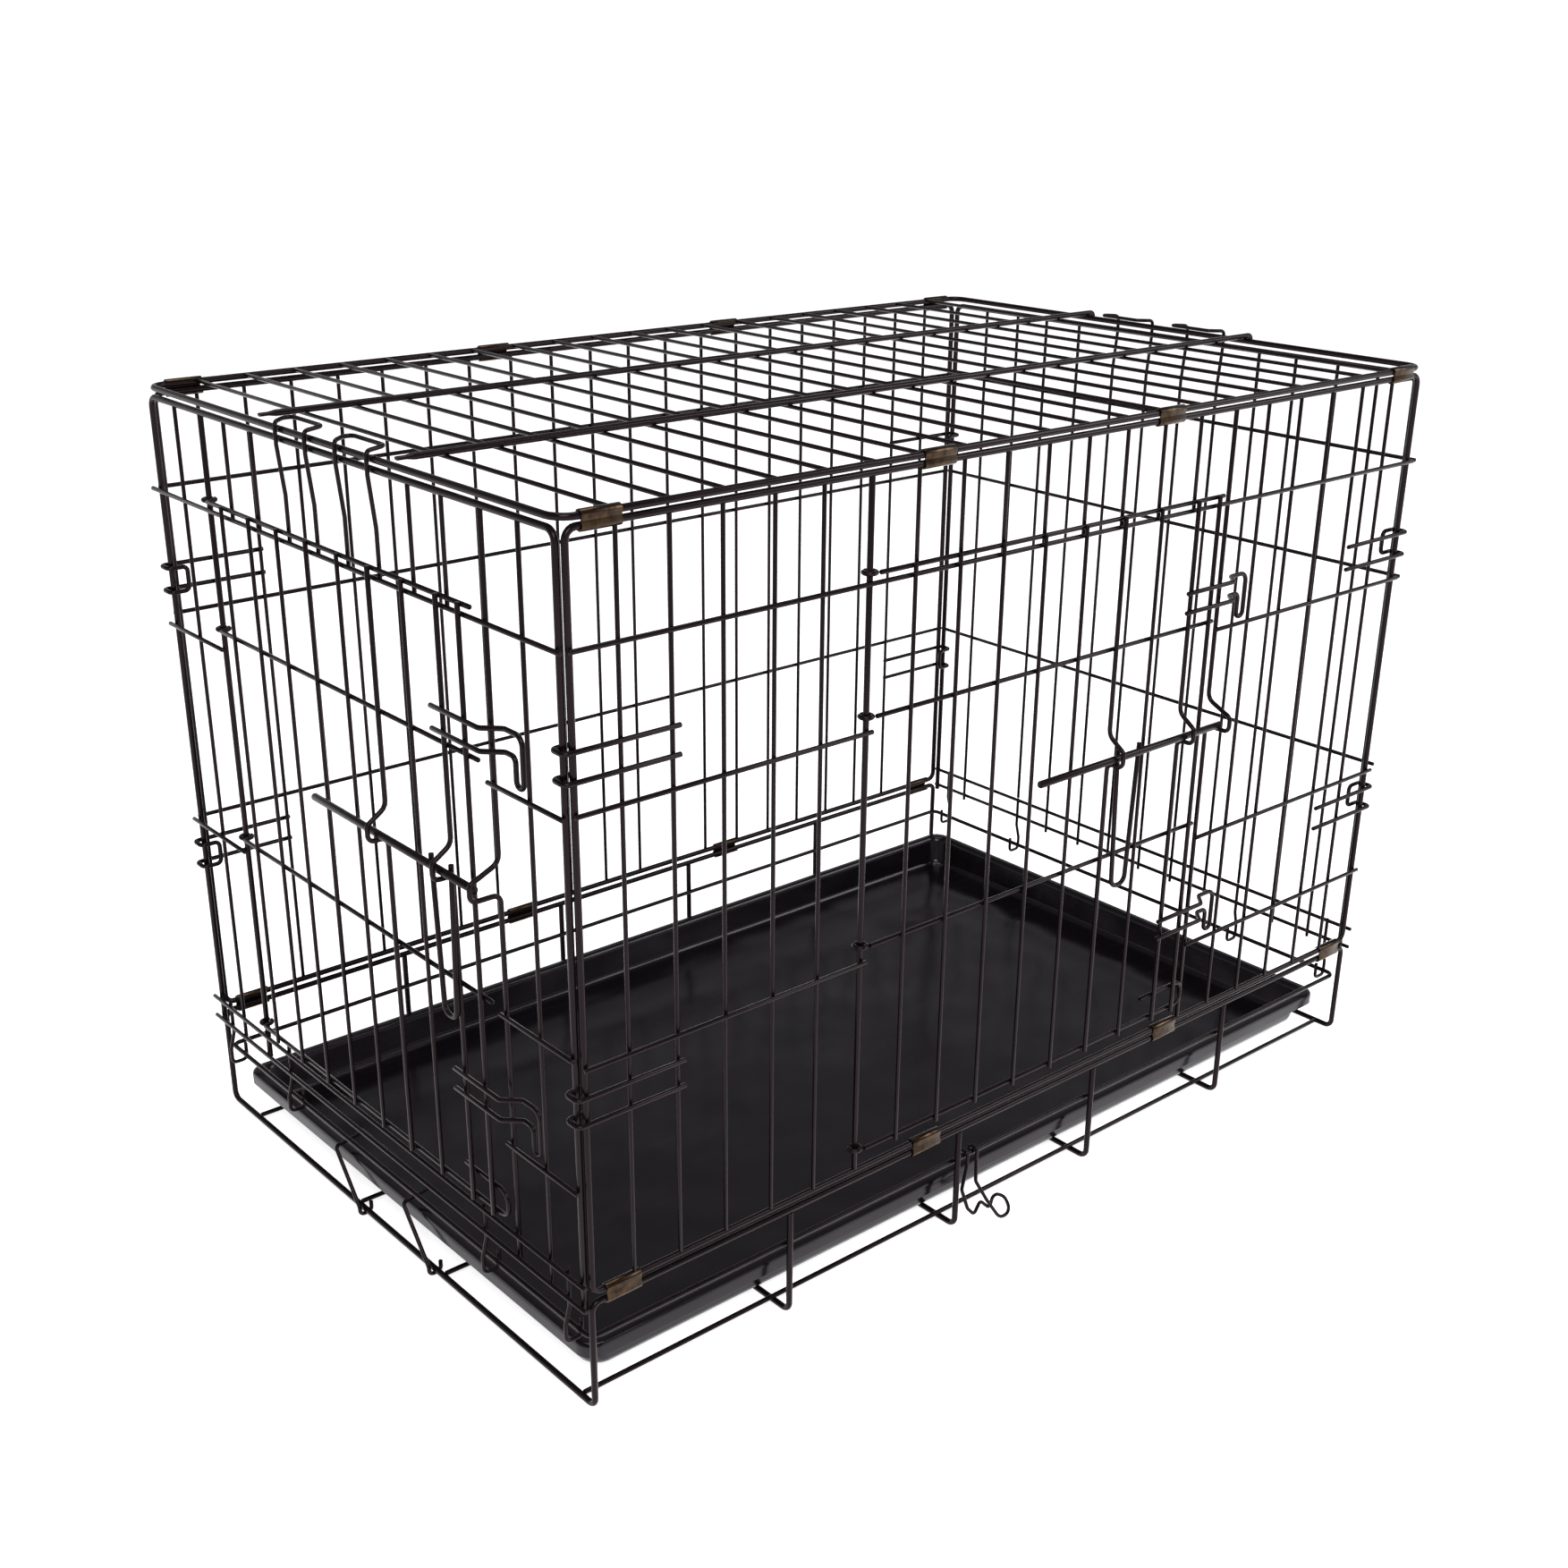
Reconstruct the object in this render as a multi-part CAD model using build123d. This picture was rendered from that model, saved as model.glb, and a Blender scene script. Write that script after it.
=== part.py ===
"""Folding wire dog crate, 36 inch class, two doors. Millimetres, +Z up.

Origin: centre of the footprint at floor level. +X runs along the crate's length, -Y is the
long side with the side door (the front) and -X is the end with the end door (the left end).
"""
from build123d import *
from math import acos, cos, pi, sin, tan
import os

# ---- driving dimensions ---------------------------------------------------------------
END_X = 450.0            # plane of the end panels' frame wires
SIDE_Y = 283.5           # plane of the side panels' frame wires
END_POST_Y = 279.4       # corner posts of the end panels
SIDE_POST_X = 445.9      # corner posts of the side panels
TOP_Z = 650.6            # top panel frame wire
SIDE_TOP_Z = 644.5       # upper wire of the side panels
END_TOP_Z = 643.5        # upper wire of the end panels
SIDE_LOW_Z = 103.0       # lower wire of the side panels
RAIL_Z = 95.0            # upper rail of the base
PIVOT_Z = 63.0           # rail that the end panels hang on
LEVEL_1 = 570.0          # first cross wire under the top
CORNER_R = 8.0

D_FRAME = 5.0            # frame wires
D_CROSS = 3.6            # level wires
D_UP = 3.2               # uprights
D_EYE = 3.8              # uprights with a bolt eye, tongues and corner fingers
D_HINGE = 4.6            # upright each door turns on
D_ROD = 6.0              # slide bolts
D_HANDLE = 4.0
D_FLOOR = 4.0
D_STOP = 3.4
D_HOOK = 3.0
WELD = 0.03              # gap left at a weld

O_CROSS = D_FRAME / 2 + D_CROSS / 2 + WELD          # level wires, outside the frame
O_UP = O_CROSS - D_CROSS / 2 - D_UP / 2 - WELD      # uprights, inside the level wires
O_EYE = O_CROSS - D_CROSS / 2 - D_EYE / 2 - WELD
O_HINGE = O_CROSS - D_CROSS / 2 - D_HINGE / 2 - WELD

# doors, along the wall from the hinge upright
DOOR_LEVELS = (577.0, 474.0, 296.0, 123.0)
DOOR_UPS = (36.0, 80.0, 124.0, 168.0, 213.0, 256.5, 300.0, 344.0, 370.5)
DOOR_EYE_UPS = (256.5, 344.0)
DOOR_LEVEL_END = 380.0
JAMB = 391.0
RING_R = D_HINGE / 2 + 0.45 + D_CROSS / 2
O_DOOR_CROSS = O_HINGE + RING_R
O_DOOR_UP = O_DOOR_CROSS + D_CROSS / 2 + D_EYE / 2 + WELD
O_BOLT = 18.0
BOLT_Z = 387.0
BOLT_LENGTH = 221.0
BOLT_GAP = 3.5           # bolt tip to the middle of the keeper wire
EYE_CLEAR = 1.4
HANDLE_DROP = 116.0
HANDLE_HALF = 13.0       # half the handle's width at the bolt
HANDLE_TOE = 8.0         # and at its lower end
HANDLE_BACK = {"front": 111.5, "left": 50.5}    # bolt tip to the middle of its handle
TONGUE_IN = 0.25         # tongue tips, measured out from the frame plane

HINGE_LEFT = 192.0       # +Y side of the end door
HINGE_FRONT = -199.0     # -X side of the side door

SIDE_UPS = (-410, -369, -327, -284, -242, -199, 192, 234, 277, 320, 363, 406)
SIDE_MID = [-155.6 + 43.4 * i for i in range(8)]
END_UPS = (-241, -199, 192, 236)
END_MID = (-154, -113, -68, -25, 18, 61, 108, 152)
HOOK_PAIRS = ((61, 18), (-25, -68))
HOOK_US = (-262, -154, 152, 262)
CROSS_XS = (-447.0, -264.0, -83.0, 81.0, 262.0, 447.0)
BASE_Y = SIDE_Y
FLOOR_YS = (-266.0, -77.0, 56.0, 238.0)
TOP_XS = [-410.0 + 42.9 * i for i in range(20)]
STIFFENER_YS = (-98.0, 95.0)
FINGER_PAIRS = ((506.0, 486.0), (262.0, 242.0))

TRAY_X, TRAY_Y, TRAY_R = 441.0, 267.0, 13.0
TRAY_Z0, TRAY_Z1, TRAY_T = 9.3, 42.0, 2.0
TRAY_LIP = 11.0          # height of the lip that hangs from the flange
PAN_TOP, PAN_LOW = 7.0, 12.0    # pan wall, inwards from the lip, at its top and bottom
STOP_LEAN = 40.0
STOP_YS = (-64.0, 46.0)
END_WIRE_Z = 6.4
HOOK_XS = (-71.0, -60.0)

TOP_FRONT_CLIPS = (-420.5, -137.5, 110.0, 419.0)
LOW_FRONT_CLIPS = (-420.5, -123.0, 172.0, 420.5)
TOP_BACK_CLIPS = (-420.5, -130.0, 132.0, 420.5)
LOW_BACK_CLIPS = (-420.5, -130.0, 132.0, 420.5)
CLIP_LENGTH, CLIP_T, CLIP_FIT = 30.0, 1.2, 0.25

nodes = {}


def add(name, *solids):
    """Put solids in a node."""
    for s in solids:
        nodes.setdefault(name, []).extend(s if isinstance(s, list) else [s])


def rod(a, b, d):
    """Straight round wire from a to b."""
    a, b = Vector(*a), Vector(*b)
    return Solid.make_cylinder(d / 2, (b - a).length, Plane(origin=a, z_dir=b - a))


def edges_of(points, r, closed=False):
    """Lines and bends through the points; r is one radius, or one for each bend."""
    p = [Vector(*q) for q in points]
    n = len(p)
    radii = [r] * n if isinstance(r, (int, float)) else list(r) if closed else [0, *r, 0]
    cuts = []
    for i in range(n):
        if not closed and i in (0, n - 1):
            cuts.append((p[i], p[i], None))
            continue
        a = (p[i - 1] - p[i]).normalized()
        b = (p[(i + 1) % n] - p[i]).normalized()
        half = acos(max(-1.0, min(1.0, a.dot(b)))) / 2
        t = radii[i] / tan(half)
        mid = p[i] + (a + b).normalized() * (radii[i] / sin(half) - radii[i])
        cuts.append((p[i] + a * t, p[i] + b * t, mid))
    out = []
    for i in range(n if closed else n - 1):
        end, start = cuts[i], cuts[(i + 1) % n]
        if end[2] is not None:
            out.append(ThreePointArc(end[0], end[2], end[1]).edge())
        if (start[0] - end[1]).length > 1e-6:
            out.append(Edge.make_line(end[1], start[0]))
    return out


def swept(path, d):
    """Round wire along a path."""
    circle = Plane(origin=path @ 0, z_dir=path % 0) * Circle(d / 2)
    return sweep(circle, path=path).solid()


def frame(points, d, r, closed=False):
    """Bent wire as separate runs and bends, face to face."""
    out = []
    for e in edges_of(points, r, closed):
        if e.geom_type == GeomType.LINE:
            out.append(rod(tuple(e @ 0), tuple(e @ 1), d))
        else:
            out.append(swept(e, d))
    return out


def bent(points, d, r, closed=False):
    """Bent wire in one piece."""
    return swept(Wire(edges_of(points, r, closed)), d)


def left_wall(u, o, z):
    """u along +Y, o outwards (-X)."""
    return (-END_X - o, u, z)


def right_wall(u, o, z):
    """u along +Y, o outwards (+X)."""
    return (END_X + o, u, z)


def front_wall(u, o, z):
    """u along +X, o outwards (-Y)."""
    return (u, -SIDE_Y - o, z)


def back_wall(u, o, z):
    """u along +X, o outwards (+Y)."""
    return (u, SIDE_Y + o, z)


def upright(wall, u, z0, z1, o=O_UP, d=D_UP):
    """One upright on a wall."""
    return rod(wall(u, o, z0), wall(u, o, z1), d)


def level(wall, u0, u1, z, o=O_CROSS, d=D_CROSS):
    """One level wire on a wall."""
    return rod(wall(u0, o, z), wall(u1, o, z), d)


def eye_path(base):
    """Bolt eye: (outwards, height over the bolt axis) points for an upright at base."""
    reach = D_ROD / 2 + D_EYE / 2 + EYE_CLEAR
    return ((base, 36.0), (base, 17.0), (O_BOLT + reach, 6.5), (O_BOLT + reach, -reach),
            (base, -reach), (base, -24.0))


EYE_BENDS = (9.0, 4.6, 5.0, 6.0)


# ---- base -----------------------------------------------------------------------------
base_loop = []
for sx, sy in ((-1, -1), (1, -1), (1, 1), (-1, 1)):
    high, low = (447.0 * sx, BASE_Y * sy, RAIL_Z), (447.0 * sx, BASE_Y * sy, END_WIRE_Z)
    base_loop += [high, low] if sx * sy < 0 else [low, high]
add("base_frame_wire", frame(base_loop, D_FRAME, 7.0, closed=True))
for x in CROSS_XS[1:-1]:
    add("base_cross_wires", frame([(x, -BASE_Y, RAIL_Z - 2.5 - WELD), (x, -BASE_Y, 2.5),
                                   (x, BASE_Y, 2.5), (x, BASE_Y, RAIL_Z - 2.5 - WELD)],
                                  D_FRAME, 7.0))
for y in FLOOR_YS:
    add("base_floor_wires", rod((-444.4, y, 7.05), (444.4, y, 7.05), D_FLOOR))
py = BASE_Y - 2.5 - 2.0 - WELD
add("base_pivot_rail", frame([(-446.0, -py, PIVOT_Z), (446.0, -py, PIVOT_Z),
                              (446.0, py, PIVOT_Z), (-446.0, py, PIVOT_Z)],
                             4.0, 7.0, closed=True))

# ---- top panel ------------------------------------------------------------------------
add("top_frame_wire", frame([(-END_X, -SIDE_Y, TOP_Z), (END_X, -SIDE_Y, TOP_Z),
                             (END_X, SIDE_Y, TOP_Z), (-END_X, SIDE_Y, TOP_Z)],
                            D_FRAME, 14.0, closed=True))
for x in TOP_XS:
    add("top_cross_wires", rod((x, -SIDE_Y + 2.55, TOP_Z + 0.9), (x, SIDE_Y - 2.55, TOP_Z + 0.9),
                               D_UP))
for y in STIFFENER_YS:
    add("top_stiffeners", rod((-449.0, y, TOP_Z + 5.1), (449.0, y, TOP_Z + 5.1), D_FRAME))

# ---- long sides -----------------------------------------------------------------------
for wall, name, side_door in ((front_wall, "front", True), (back_wall, "back", False)):
    add(name + "_panel_frame",
        frame([wall(-SIDE_POST_X, 0, SIDE_LOW_Z), wall(SIDE_POST_X, 0, SIDE_LOW_Z),
               wall(SIDE_POST_X, 0, SIDE_TOP_Z), wall(-SIDE_POST_X, 0, SIDE_TOP_Z)],
              D_FRAME, CORNER_R, closed=True))
    low, high = SIDE_LOW_Z + 2.55, SIDE_TOP_Z - 2.55
    for u in SIDE_UPS:
        if side_door and u == HINGE_FRONT:
            add(name + "_panel_uprights", upright(wall, u, low, high, O_HINGE, D_HINGE))
        elif side_door and u == 192:
            add(name + "_bolt_keeper",
                upright(wall, u, low, BOLT_Z - 24.0, O_EYE, D_EYE),
                upright(wall, u, BOLT_Z + 36.0, high, O_EYE, D_EYE),
                frame([wall(u, o, BOLT_Z + z) for o, z in eye_path(O_EYE)], D_EYE, EYE_BENDS))
        else:
            add(name + "_panel_uprights", upright(wall, u, low, high))
    for u in SIDE_MID:
        add(name + "_panel_uprights",
            upright(wall, u, LEVEL_1 - 2.0 if side_door else low, high))
    levels = ([(-449, 449, LEVEL_1), (-449, -196, 463), (-449, -196, 283), (189, 449, 465),
               (189, 449, 280), (189, 449, 178)] if side_door else
              [(-449, 449, LEVEL_1), (-449, 449, 465), (-449, 449, 284)])
    for u0, u1, z in levels:
        add(name + "_panel_cross_wires", level(wall, u0, u1, z))
    of = D_FRAME / 2 + D_EYE / 2 + WELD
    sy = -1 if side_door else 1
    for s in (-1, 1):
        for upper, lower in FINGER_PAIRS:
            half = [(wall(s * 365, of, 0)[:2]), (wall(s * 455.2, of, 0)[:2]),
                    (s * 455.2, sy * 274.0), (s * 439.0, sy * 274.0)]
            add(name + "_corner_fingers",
                frame([(*q, upper) for q in half] + [(*q, lower) for q in reversed(half)],
                      D_EYE, 4.2))

# ---- ends -----------------------------------------------------------------------------
for wall, name, end_door in ((left_wall, "left", True), (right_wall, "right", False)):
    add(name + "_panel_frame",
        frame([wall(-END_POST_Y, 0, 90), wall(-END_POST_Y, 0, END_TOP_Z),
               wall(END_POST_Y, 0, END_TOP_Z), wall(END_POST_Y, 0, 90)], D_FRAME, CORNER_R))
    high = END_TOP_Z - 2.55
    hooked = [u for pair in HOOK_PAIRS for u in pair]
    for u in END_UPS:
        if end_door and u == HINGE_LEFT:
            add(name + "_panel_uprights", upright(wall, u, 89, high, O_HINGE, D_HINGE))
        elif end_door and u == -199:
            add(name + "_bolt_keeper",
                upright(wall, u, 89, BOLT_Z - 24.0, O_EYE, D_EYE),
                upright(wall, u, BOLT_Z + 36.0, high, O_EYE, D_EYE),
                frame([wall(u, o, BOLT_Z + z) for o, z in eye_path(O_EYE)], D_EYE, EYE_BENDS))
        else:
            add(name + "_panel_uprights", upright(wall, u, 89, high))
    for u in END_MID:
        low = LEVEL_1 - 2.0 if end_door else 117.0 if u in HOOK_US else 89.0
        if not (end_door and u in hooked):
            add(name + "_panel_uprights", upright(wall, u, low, 574.0 if u in hooked else high))
    levels = [(-287, 287, LEVEL_1), (-287, 287, 112), (-287, 287, 93)]
    levels += ([(-283, -196, 461), (-283, -196, 290), (-283, -196, 187), (189, 285, 458),
                (189, 285, 284)] if end_door else [(-287, 287, 465), (-287, 287, 284)])
    for u0, u1, z in levels:
        add(name + "_panel_cross_wires", level(wall, u0, u1, z))
    oo = D_FRAME / 2 + D_UP / 2 + 0.3
    foot = LEVEL_1 - 2.0 if end_door else 574.0
    for a, b in HOOK_PAIRS:
        add(name + "_top_hooks",
            frame([wall(a, O_UP, foot), wall(a, O_UP, 604), wall(a, oo, 640), wall(a, oo, 656.2),
                   wall(a + 12, -13, 657.2), wall(b + 5, -13, 657.2), wall(b, oo, 656.2),
                   wall(b, oo, 640), wall(b, O_UP, 604), wall(b, O_UP, foot)],
                  D_UP, (4, 4, 4, 5.5, 5.5, 4, 4, 4)))
    for u in HOOK_US:
        add(name + "_bottom_hooks",
            frame([wall(u, O_UP, 116), wall(u, O_UP, 84), wall(u, 5.2, 68), wall(u, 5.2, 54),
                   wall(u, -8.6, 54), wall(u, -8.6, 70)], D_UP, 4.4))

# ---- doors ----------------------------------------------------------------------------
doors = (("front", lambda u, o, z: front_wall(HINGE_FRONT + u, o, z), (465, 178)),
         ("left", lambda u, o, z: left_wall(HINGE_LEFT - u, o, z), (461, 187)))
for name, wall, catches in doors:
    for z in DOOR_LEVELS:
        ring = Solid.make_torus(RING_R, D_CROSS / 2)
        add(name + "_door_hinge_eyes", Pos(*wall(0, O_HINGE, z)) * ring)
        if z != DOOR_LEVELS[-1]:
            add(name + "_door_cross_wires",
                level(wall, RING_R + 3.0, DOOR_LEVEL_END, z, O_DOOR_CROSS))
    zb = DOOR_LEVELS[-1]
    add(name + "_door_cross_wires",
        frame([wall(RING_R + 3.0, O_DOOR_CROSS, zb), wall(386, O_DOOR_CROSS, zb),
               wall(386, O_DOOR_CROSS, zb + 21), wall(330, O_DOOR_CROSS, zb + 21)],
              D_CROSS, 9.0))
    for u in DOOR_UPS:
        o = O_DOOR_UP
        if u in DOOR_EYE_UPS:
            add(name + "_door_bolt_eyes",
                upright(wall, u, zb - 3, BOLT_Z - 24.0, o, D_EYE),
                upright(wall, u, BOLT_Z + 36.0, DOOR_LEVELS[0] + 2, o, D_EYE),
                frame([wall(u, q, BOLT_Z + z) for q, z in eye_path(o)], D_EYE, EYE_BENDS))
        else:
            d = D_EYE if u == DOOR_UPS[-1] else D_UP
            add(name + "_door_uprights",
                upright(wall, u, zb - 3, DOOR_LEVELS[0] + 2,
                        O_DOOR_CROSS + D_CROSS / 2 + d / 2 + WELD, d))
    ot = O_DOOR_UP + D_EYE + WELD
    for zc in catches:
        tip = zc + D_CROSS / 2 + D_EYE / 2 + 0.7
        za, zl = tip + 36.5, tip + 20.5
        add(name + "_door_tongues",
            frame([wall(335, ot, za), wall(394, ot, za), wall(405.5, TONGUE_IN, za),
                   wall(426, TONGUE_IN, za), wall(426, TONGUE_IN, tip),
                   wall(417.5, TONGUE_IN, tip), wall(417.5, TONGUE_IN, zl),
                   wall(405.5, TONGUE_IN, zl), wall(394, ot, zl), wall(335, ot, zl)],
                  D_EYE, (4.5, 4.5, 7, 4.2, 4.2, 4.5, 4.5, 4.5)))
    tip_u = JAMB - BOLT_GAP
    add(name + "_bolt_rod", rod(wall(tip_u - BOLT_LENGTH, O_BOLT, BOLT_Z),
                                wall(tip_u, O_BOLT, BOLT_Z), D_ROD))
    uh, oh = tip_u - HANDLE_BACK[name], O_BOLT - D_ROD / 2 - D_HANDLE / 2 - 0.35
    add(name + "_bolt_handle",
        frame([wall(uh - HANDLE_HALF, oh, BOLT_Z + 5), wall(uh - HANDLE_TOE, oh, BOLT_Z - HANDLE_DROP),
               wall(uh + HANDLE_TOE, oh, BOLT_Z - HANDLE_DROP),
               wall(uh + HANDLE_HALF, oh, BOLT_Z + 5)], D_HANDLE, 7.0))

# ---- tray, stop and fold hook ----------------------------------------------------------
def slab(x, y, r, z0, z1):
    """Rounded rectangular slab."""
    return Pos(0, 0, z0) * extrude(RectangleRounded(2 * x, 2 * y, r), z1 - z0)


def pan(inset, z0, z1):
    """Drafted pan wall filled in, set in from the pan's outside."""
    def section(z):
        in_ = PAN_LOW + (PAN_TOP - PAN_LOW) * (z - TRAY_Z0) / (TRAY_Z1 - TRAY_Z0) + inset
        return Pos(0, 0, z) * RectangleRounded(2 * (TRAY_X - in_), 2 * (TRAY_Y - in_), 16.0 - inset)
    return loft([section(z0), section(z1)])


t = TRAY_T
tray = slab(TRAY_X, TRAY_Y, TRAY_R, TRAY_Z1 - TRAY_LIP, TRAY_Z1)
tray -= slab(TRAY_X - t, TRAY_Y - t, TRAY_R - t, TRAY_Z1 - TRAY_LIP - 1, TRAY_Z1 - t)
tray += pan(0.0, TRAY_Z0, TRAY_Z1)
tray -= pan(t, TRAY_Z0 + t, TRAY_Z1 + 1)
add("tray", tray.solid())

for y in STOP_YS:
    pts = [(-441.3, y, 11.0), (-441.3, y, 1.9), (-452.0, y, 1.9), (-452.0, y, 9.0),
           (-449.0, y + STOP_LEAN, 48.0), (-424.0, y + STOP_LEAN, 52.4)]
    add("tray_stop", frame(pts, D_STOP, 4.0))
add("tray_stop", rod((-422.25, STOP_YS[0] + STOP_LEAN - 2, 52.4),
                     (-422.25, STOP_YS[1] + STOP_LEAN + 2, 52.4), D_STOP))

a, b = HOOK_XS
y0 = -py


def hang(x, z, layer):
    """Point on the slope that the hook hangs in."""
    return (x, y0 - (PIVOT_Z - z) * 0.357 - layer, z)


add("fold_hook",
    frame([(a, y0 + 4.2, PIVOT_Z - 4), (a, y0 + 4.2, PIVOT_Z + 4.2), (a, y0 - 4.2, PIVOT_Z + 4.2),
           (a, y0 - 4.2, PIVOT_Z - 7), hang(-81, 38, 0), hang(-79, 22, 0), hang(-73.5, 15, 0),
           hang(-63, 22, -1.0), hang(-54, 12.5, -1.7), hang(-46, 22.5, -1.7),
           hang(-36, 16.5, 0), hang(-34.5, 5.0, 1.7), hang(-47.5, 2.6, 1.7), hang(-58, 22, 2.0),
           hang(-65, 40, 1.0), (b, y0 - 4.2, PIVOT_Z - 7), (b, y0 - 4.2, PIVOT_Z + 4.2),
           (b, y0 + 4.2, PIVOT_Z + 4.2), (b, y0 + 4.2, PIVOT_Z - 4)],
          D_HOOK, (3.2, 3.2, 3.2, 4, 3.2, 3.2, 3.2, 3.2, 3.2, 3.6, 3.6, 3.6, 6, 4, 3.2, 3.2, 3.2)))

# ---- clips ----------------------------------------------------------------------------
def clip(x, wall, z_low, z_high):
    """Crimped band round two stacked wires, open along its inner face."""
    r = D_FRAME / 2 + CLIP_FIT
    half = (z_high - z_low) / 2
    outer = SlotCenterToCenter(2 * half, 2 * (r + CLIP_T), rotation=90)
    inner = SlotCenterToCenter(2 * half, 2 * r, rotation=90)
    gap = Pos(-(r + CLIP_T), 0) * Rectangle(2 * (CLIP_T + 1.5), 5.0)
    sketch = outer - inner - gap
    y_side = -1 if wall is front_wall else 1
    plane = Plane(origin=(x - CLIP_LENGTH / 2, wall(0, 0, 0)[1], (z_low + z_high) / 2),
                  x_dir=(0, y_side, 0), z_dir=(1, 0, 0))
    if plane.y_dir.Z < 0:
        sketch = sketch.mirror(Plane.XZ)
    band = extrude(plane * sketch, CLIP_LENGTH)
    reach = CLIP_LENGTH / 2 + D_HINGE
    for u in list(SIDE_UPS) + SIDE_MID:
        if abs(u - x) < reach and z_high < TOP_Z:
            band -= rod(wall(u, O_UP, z_high), wall(u, O_UP, z_high + 20), D_HINGE + 0.8)
        elif abs(u - x) < reach:
            band -= rod(wall(u, O_UP, z_low - 20), wall(u, O_UP, z_low), D_HINGE + 0.8)
    for u in TOP_XS:
        if abs(u - x) < reach and z_high == TOP_Z:
            band -= rod(wall(u, -20, TOP_Z + 0.9), wall(u, 0, TOP_Z + 0.9), D_UP + 0.8)
    return band.solid()


for name, wall, xs, zs in (("top_front_clips", front_wall, TOP_FRONT_CLIPS, (SIDE_TOP_Z, TOP_Z)),
                           ("top_back_clips", back_wall, TOP_BACK_CLIPS, (SIDE_TOP_Z, TOP_Z)),
                           ("bottom_front_clips", front_wall, LOW_FRONT_CLIPS,
                            (RAIL_Z, SIDE_LOW_Z)),
                           ("bottom_back_clips", back_wall, LOW_BACK_CLIPS,
                            (RAIL_Z, SIDE_LOW_Z))):
    for x in xs:
        add(name, clip(x, wall, *zs))

os.makedirs("parts", exist_ok=True)
for name, solids in nodes.items():
    shape = solids[0] if len(solids) == 1 else Compound(children=solids)
    shape.label = name
    export_step(shape, "parts/" + name + ".step")
    print(name, len(solids))
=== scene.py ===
"""Folding wire dog crate: bent and welded wire, a moulded tray and crimped clips.

Sizes are millimetres in the classes below and turn into metres where a mesh is made. The
crate stands at the origin: +X along its length, the side door on -Y, the end door on -X.
"""

from __future__ import annotations

import logging
import math
from dataclasses import dataclass
from enum import Enum
from typing import Callable, Iterable, Sequence, Union

import bmesh
import bpy
from mathutils import Matrix, Vector

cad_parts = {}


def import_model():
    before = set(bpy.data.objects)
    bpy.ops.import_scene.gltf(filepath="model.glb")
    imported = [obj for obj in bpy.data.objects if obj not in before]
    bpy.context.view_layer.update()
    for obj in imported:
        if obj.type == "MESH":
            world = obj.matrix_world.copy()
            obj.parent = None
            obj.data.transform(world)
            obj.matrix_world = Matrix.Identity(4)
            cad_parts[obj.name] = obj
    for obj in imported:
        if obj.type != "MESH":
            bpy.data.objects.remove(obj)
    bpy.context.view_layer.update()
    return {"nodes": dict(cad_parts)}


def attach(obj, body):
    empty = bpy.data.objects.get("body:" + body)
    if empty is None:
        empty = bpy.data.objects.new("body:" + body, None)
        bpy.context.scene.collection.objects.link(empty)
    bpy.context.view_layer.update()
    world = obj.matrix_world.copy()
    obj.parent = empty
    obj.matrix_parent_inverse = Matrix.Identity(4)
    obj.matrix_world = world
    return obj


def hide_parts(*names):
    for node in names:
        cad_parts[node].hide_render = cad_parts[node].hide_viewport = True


MM = 0.001
WELD_SINK = 0.18          # how far a welded wire sinks into the next, in millimetres
NOSE = 0.45               # rounding at a wire's cut ends, in millimetres
UP = Vector((0, 0, 1))
LAMP_TARGET = Vector((0, 0, 0.3))
SHARP = 40.0              # edges sharper than this many degrees stay sharp
SAME_PLACE = 1e-4         # ends closer than this many metres are the same end
SHORT = 1.6               # how far wires stop short of a frame wire's middle, in millimetres
WALL_X = 450.0            # frame wires' planes of the end walls and side walls, in millimetres
WALL_Y = 283.5
LOG = logging.getLogger("crate")

Point = Sequence[float]
Number = Union[float, "Value"]
Piece = bpy.types.Object


# ---- shader maths ----------------------------------------------------------------------


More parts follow.
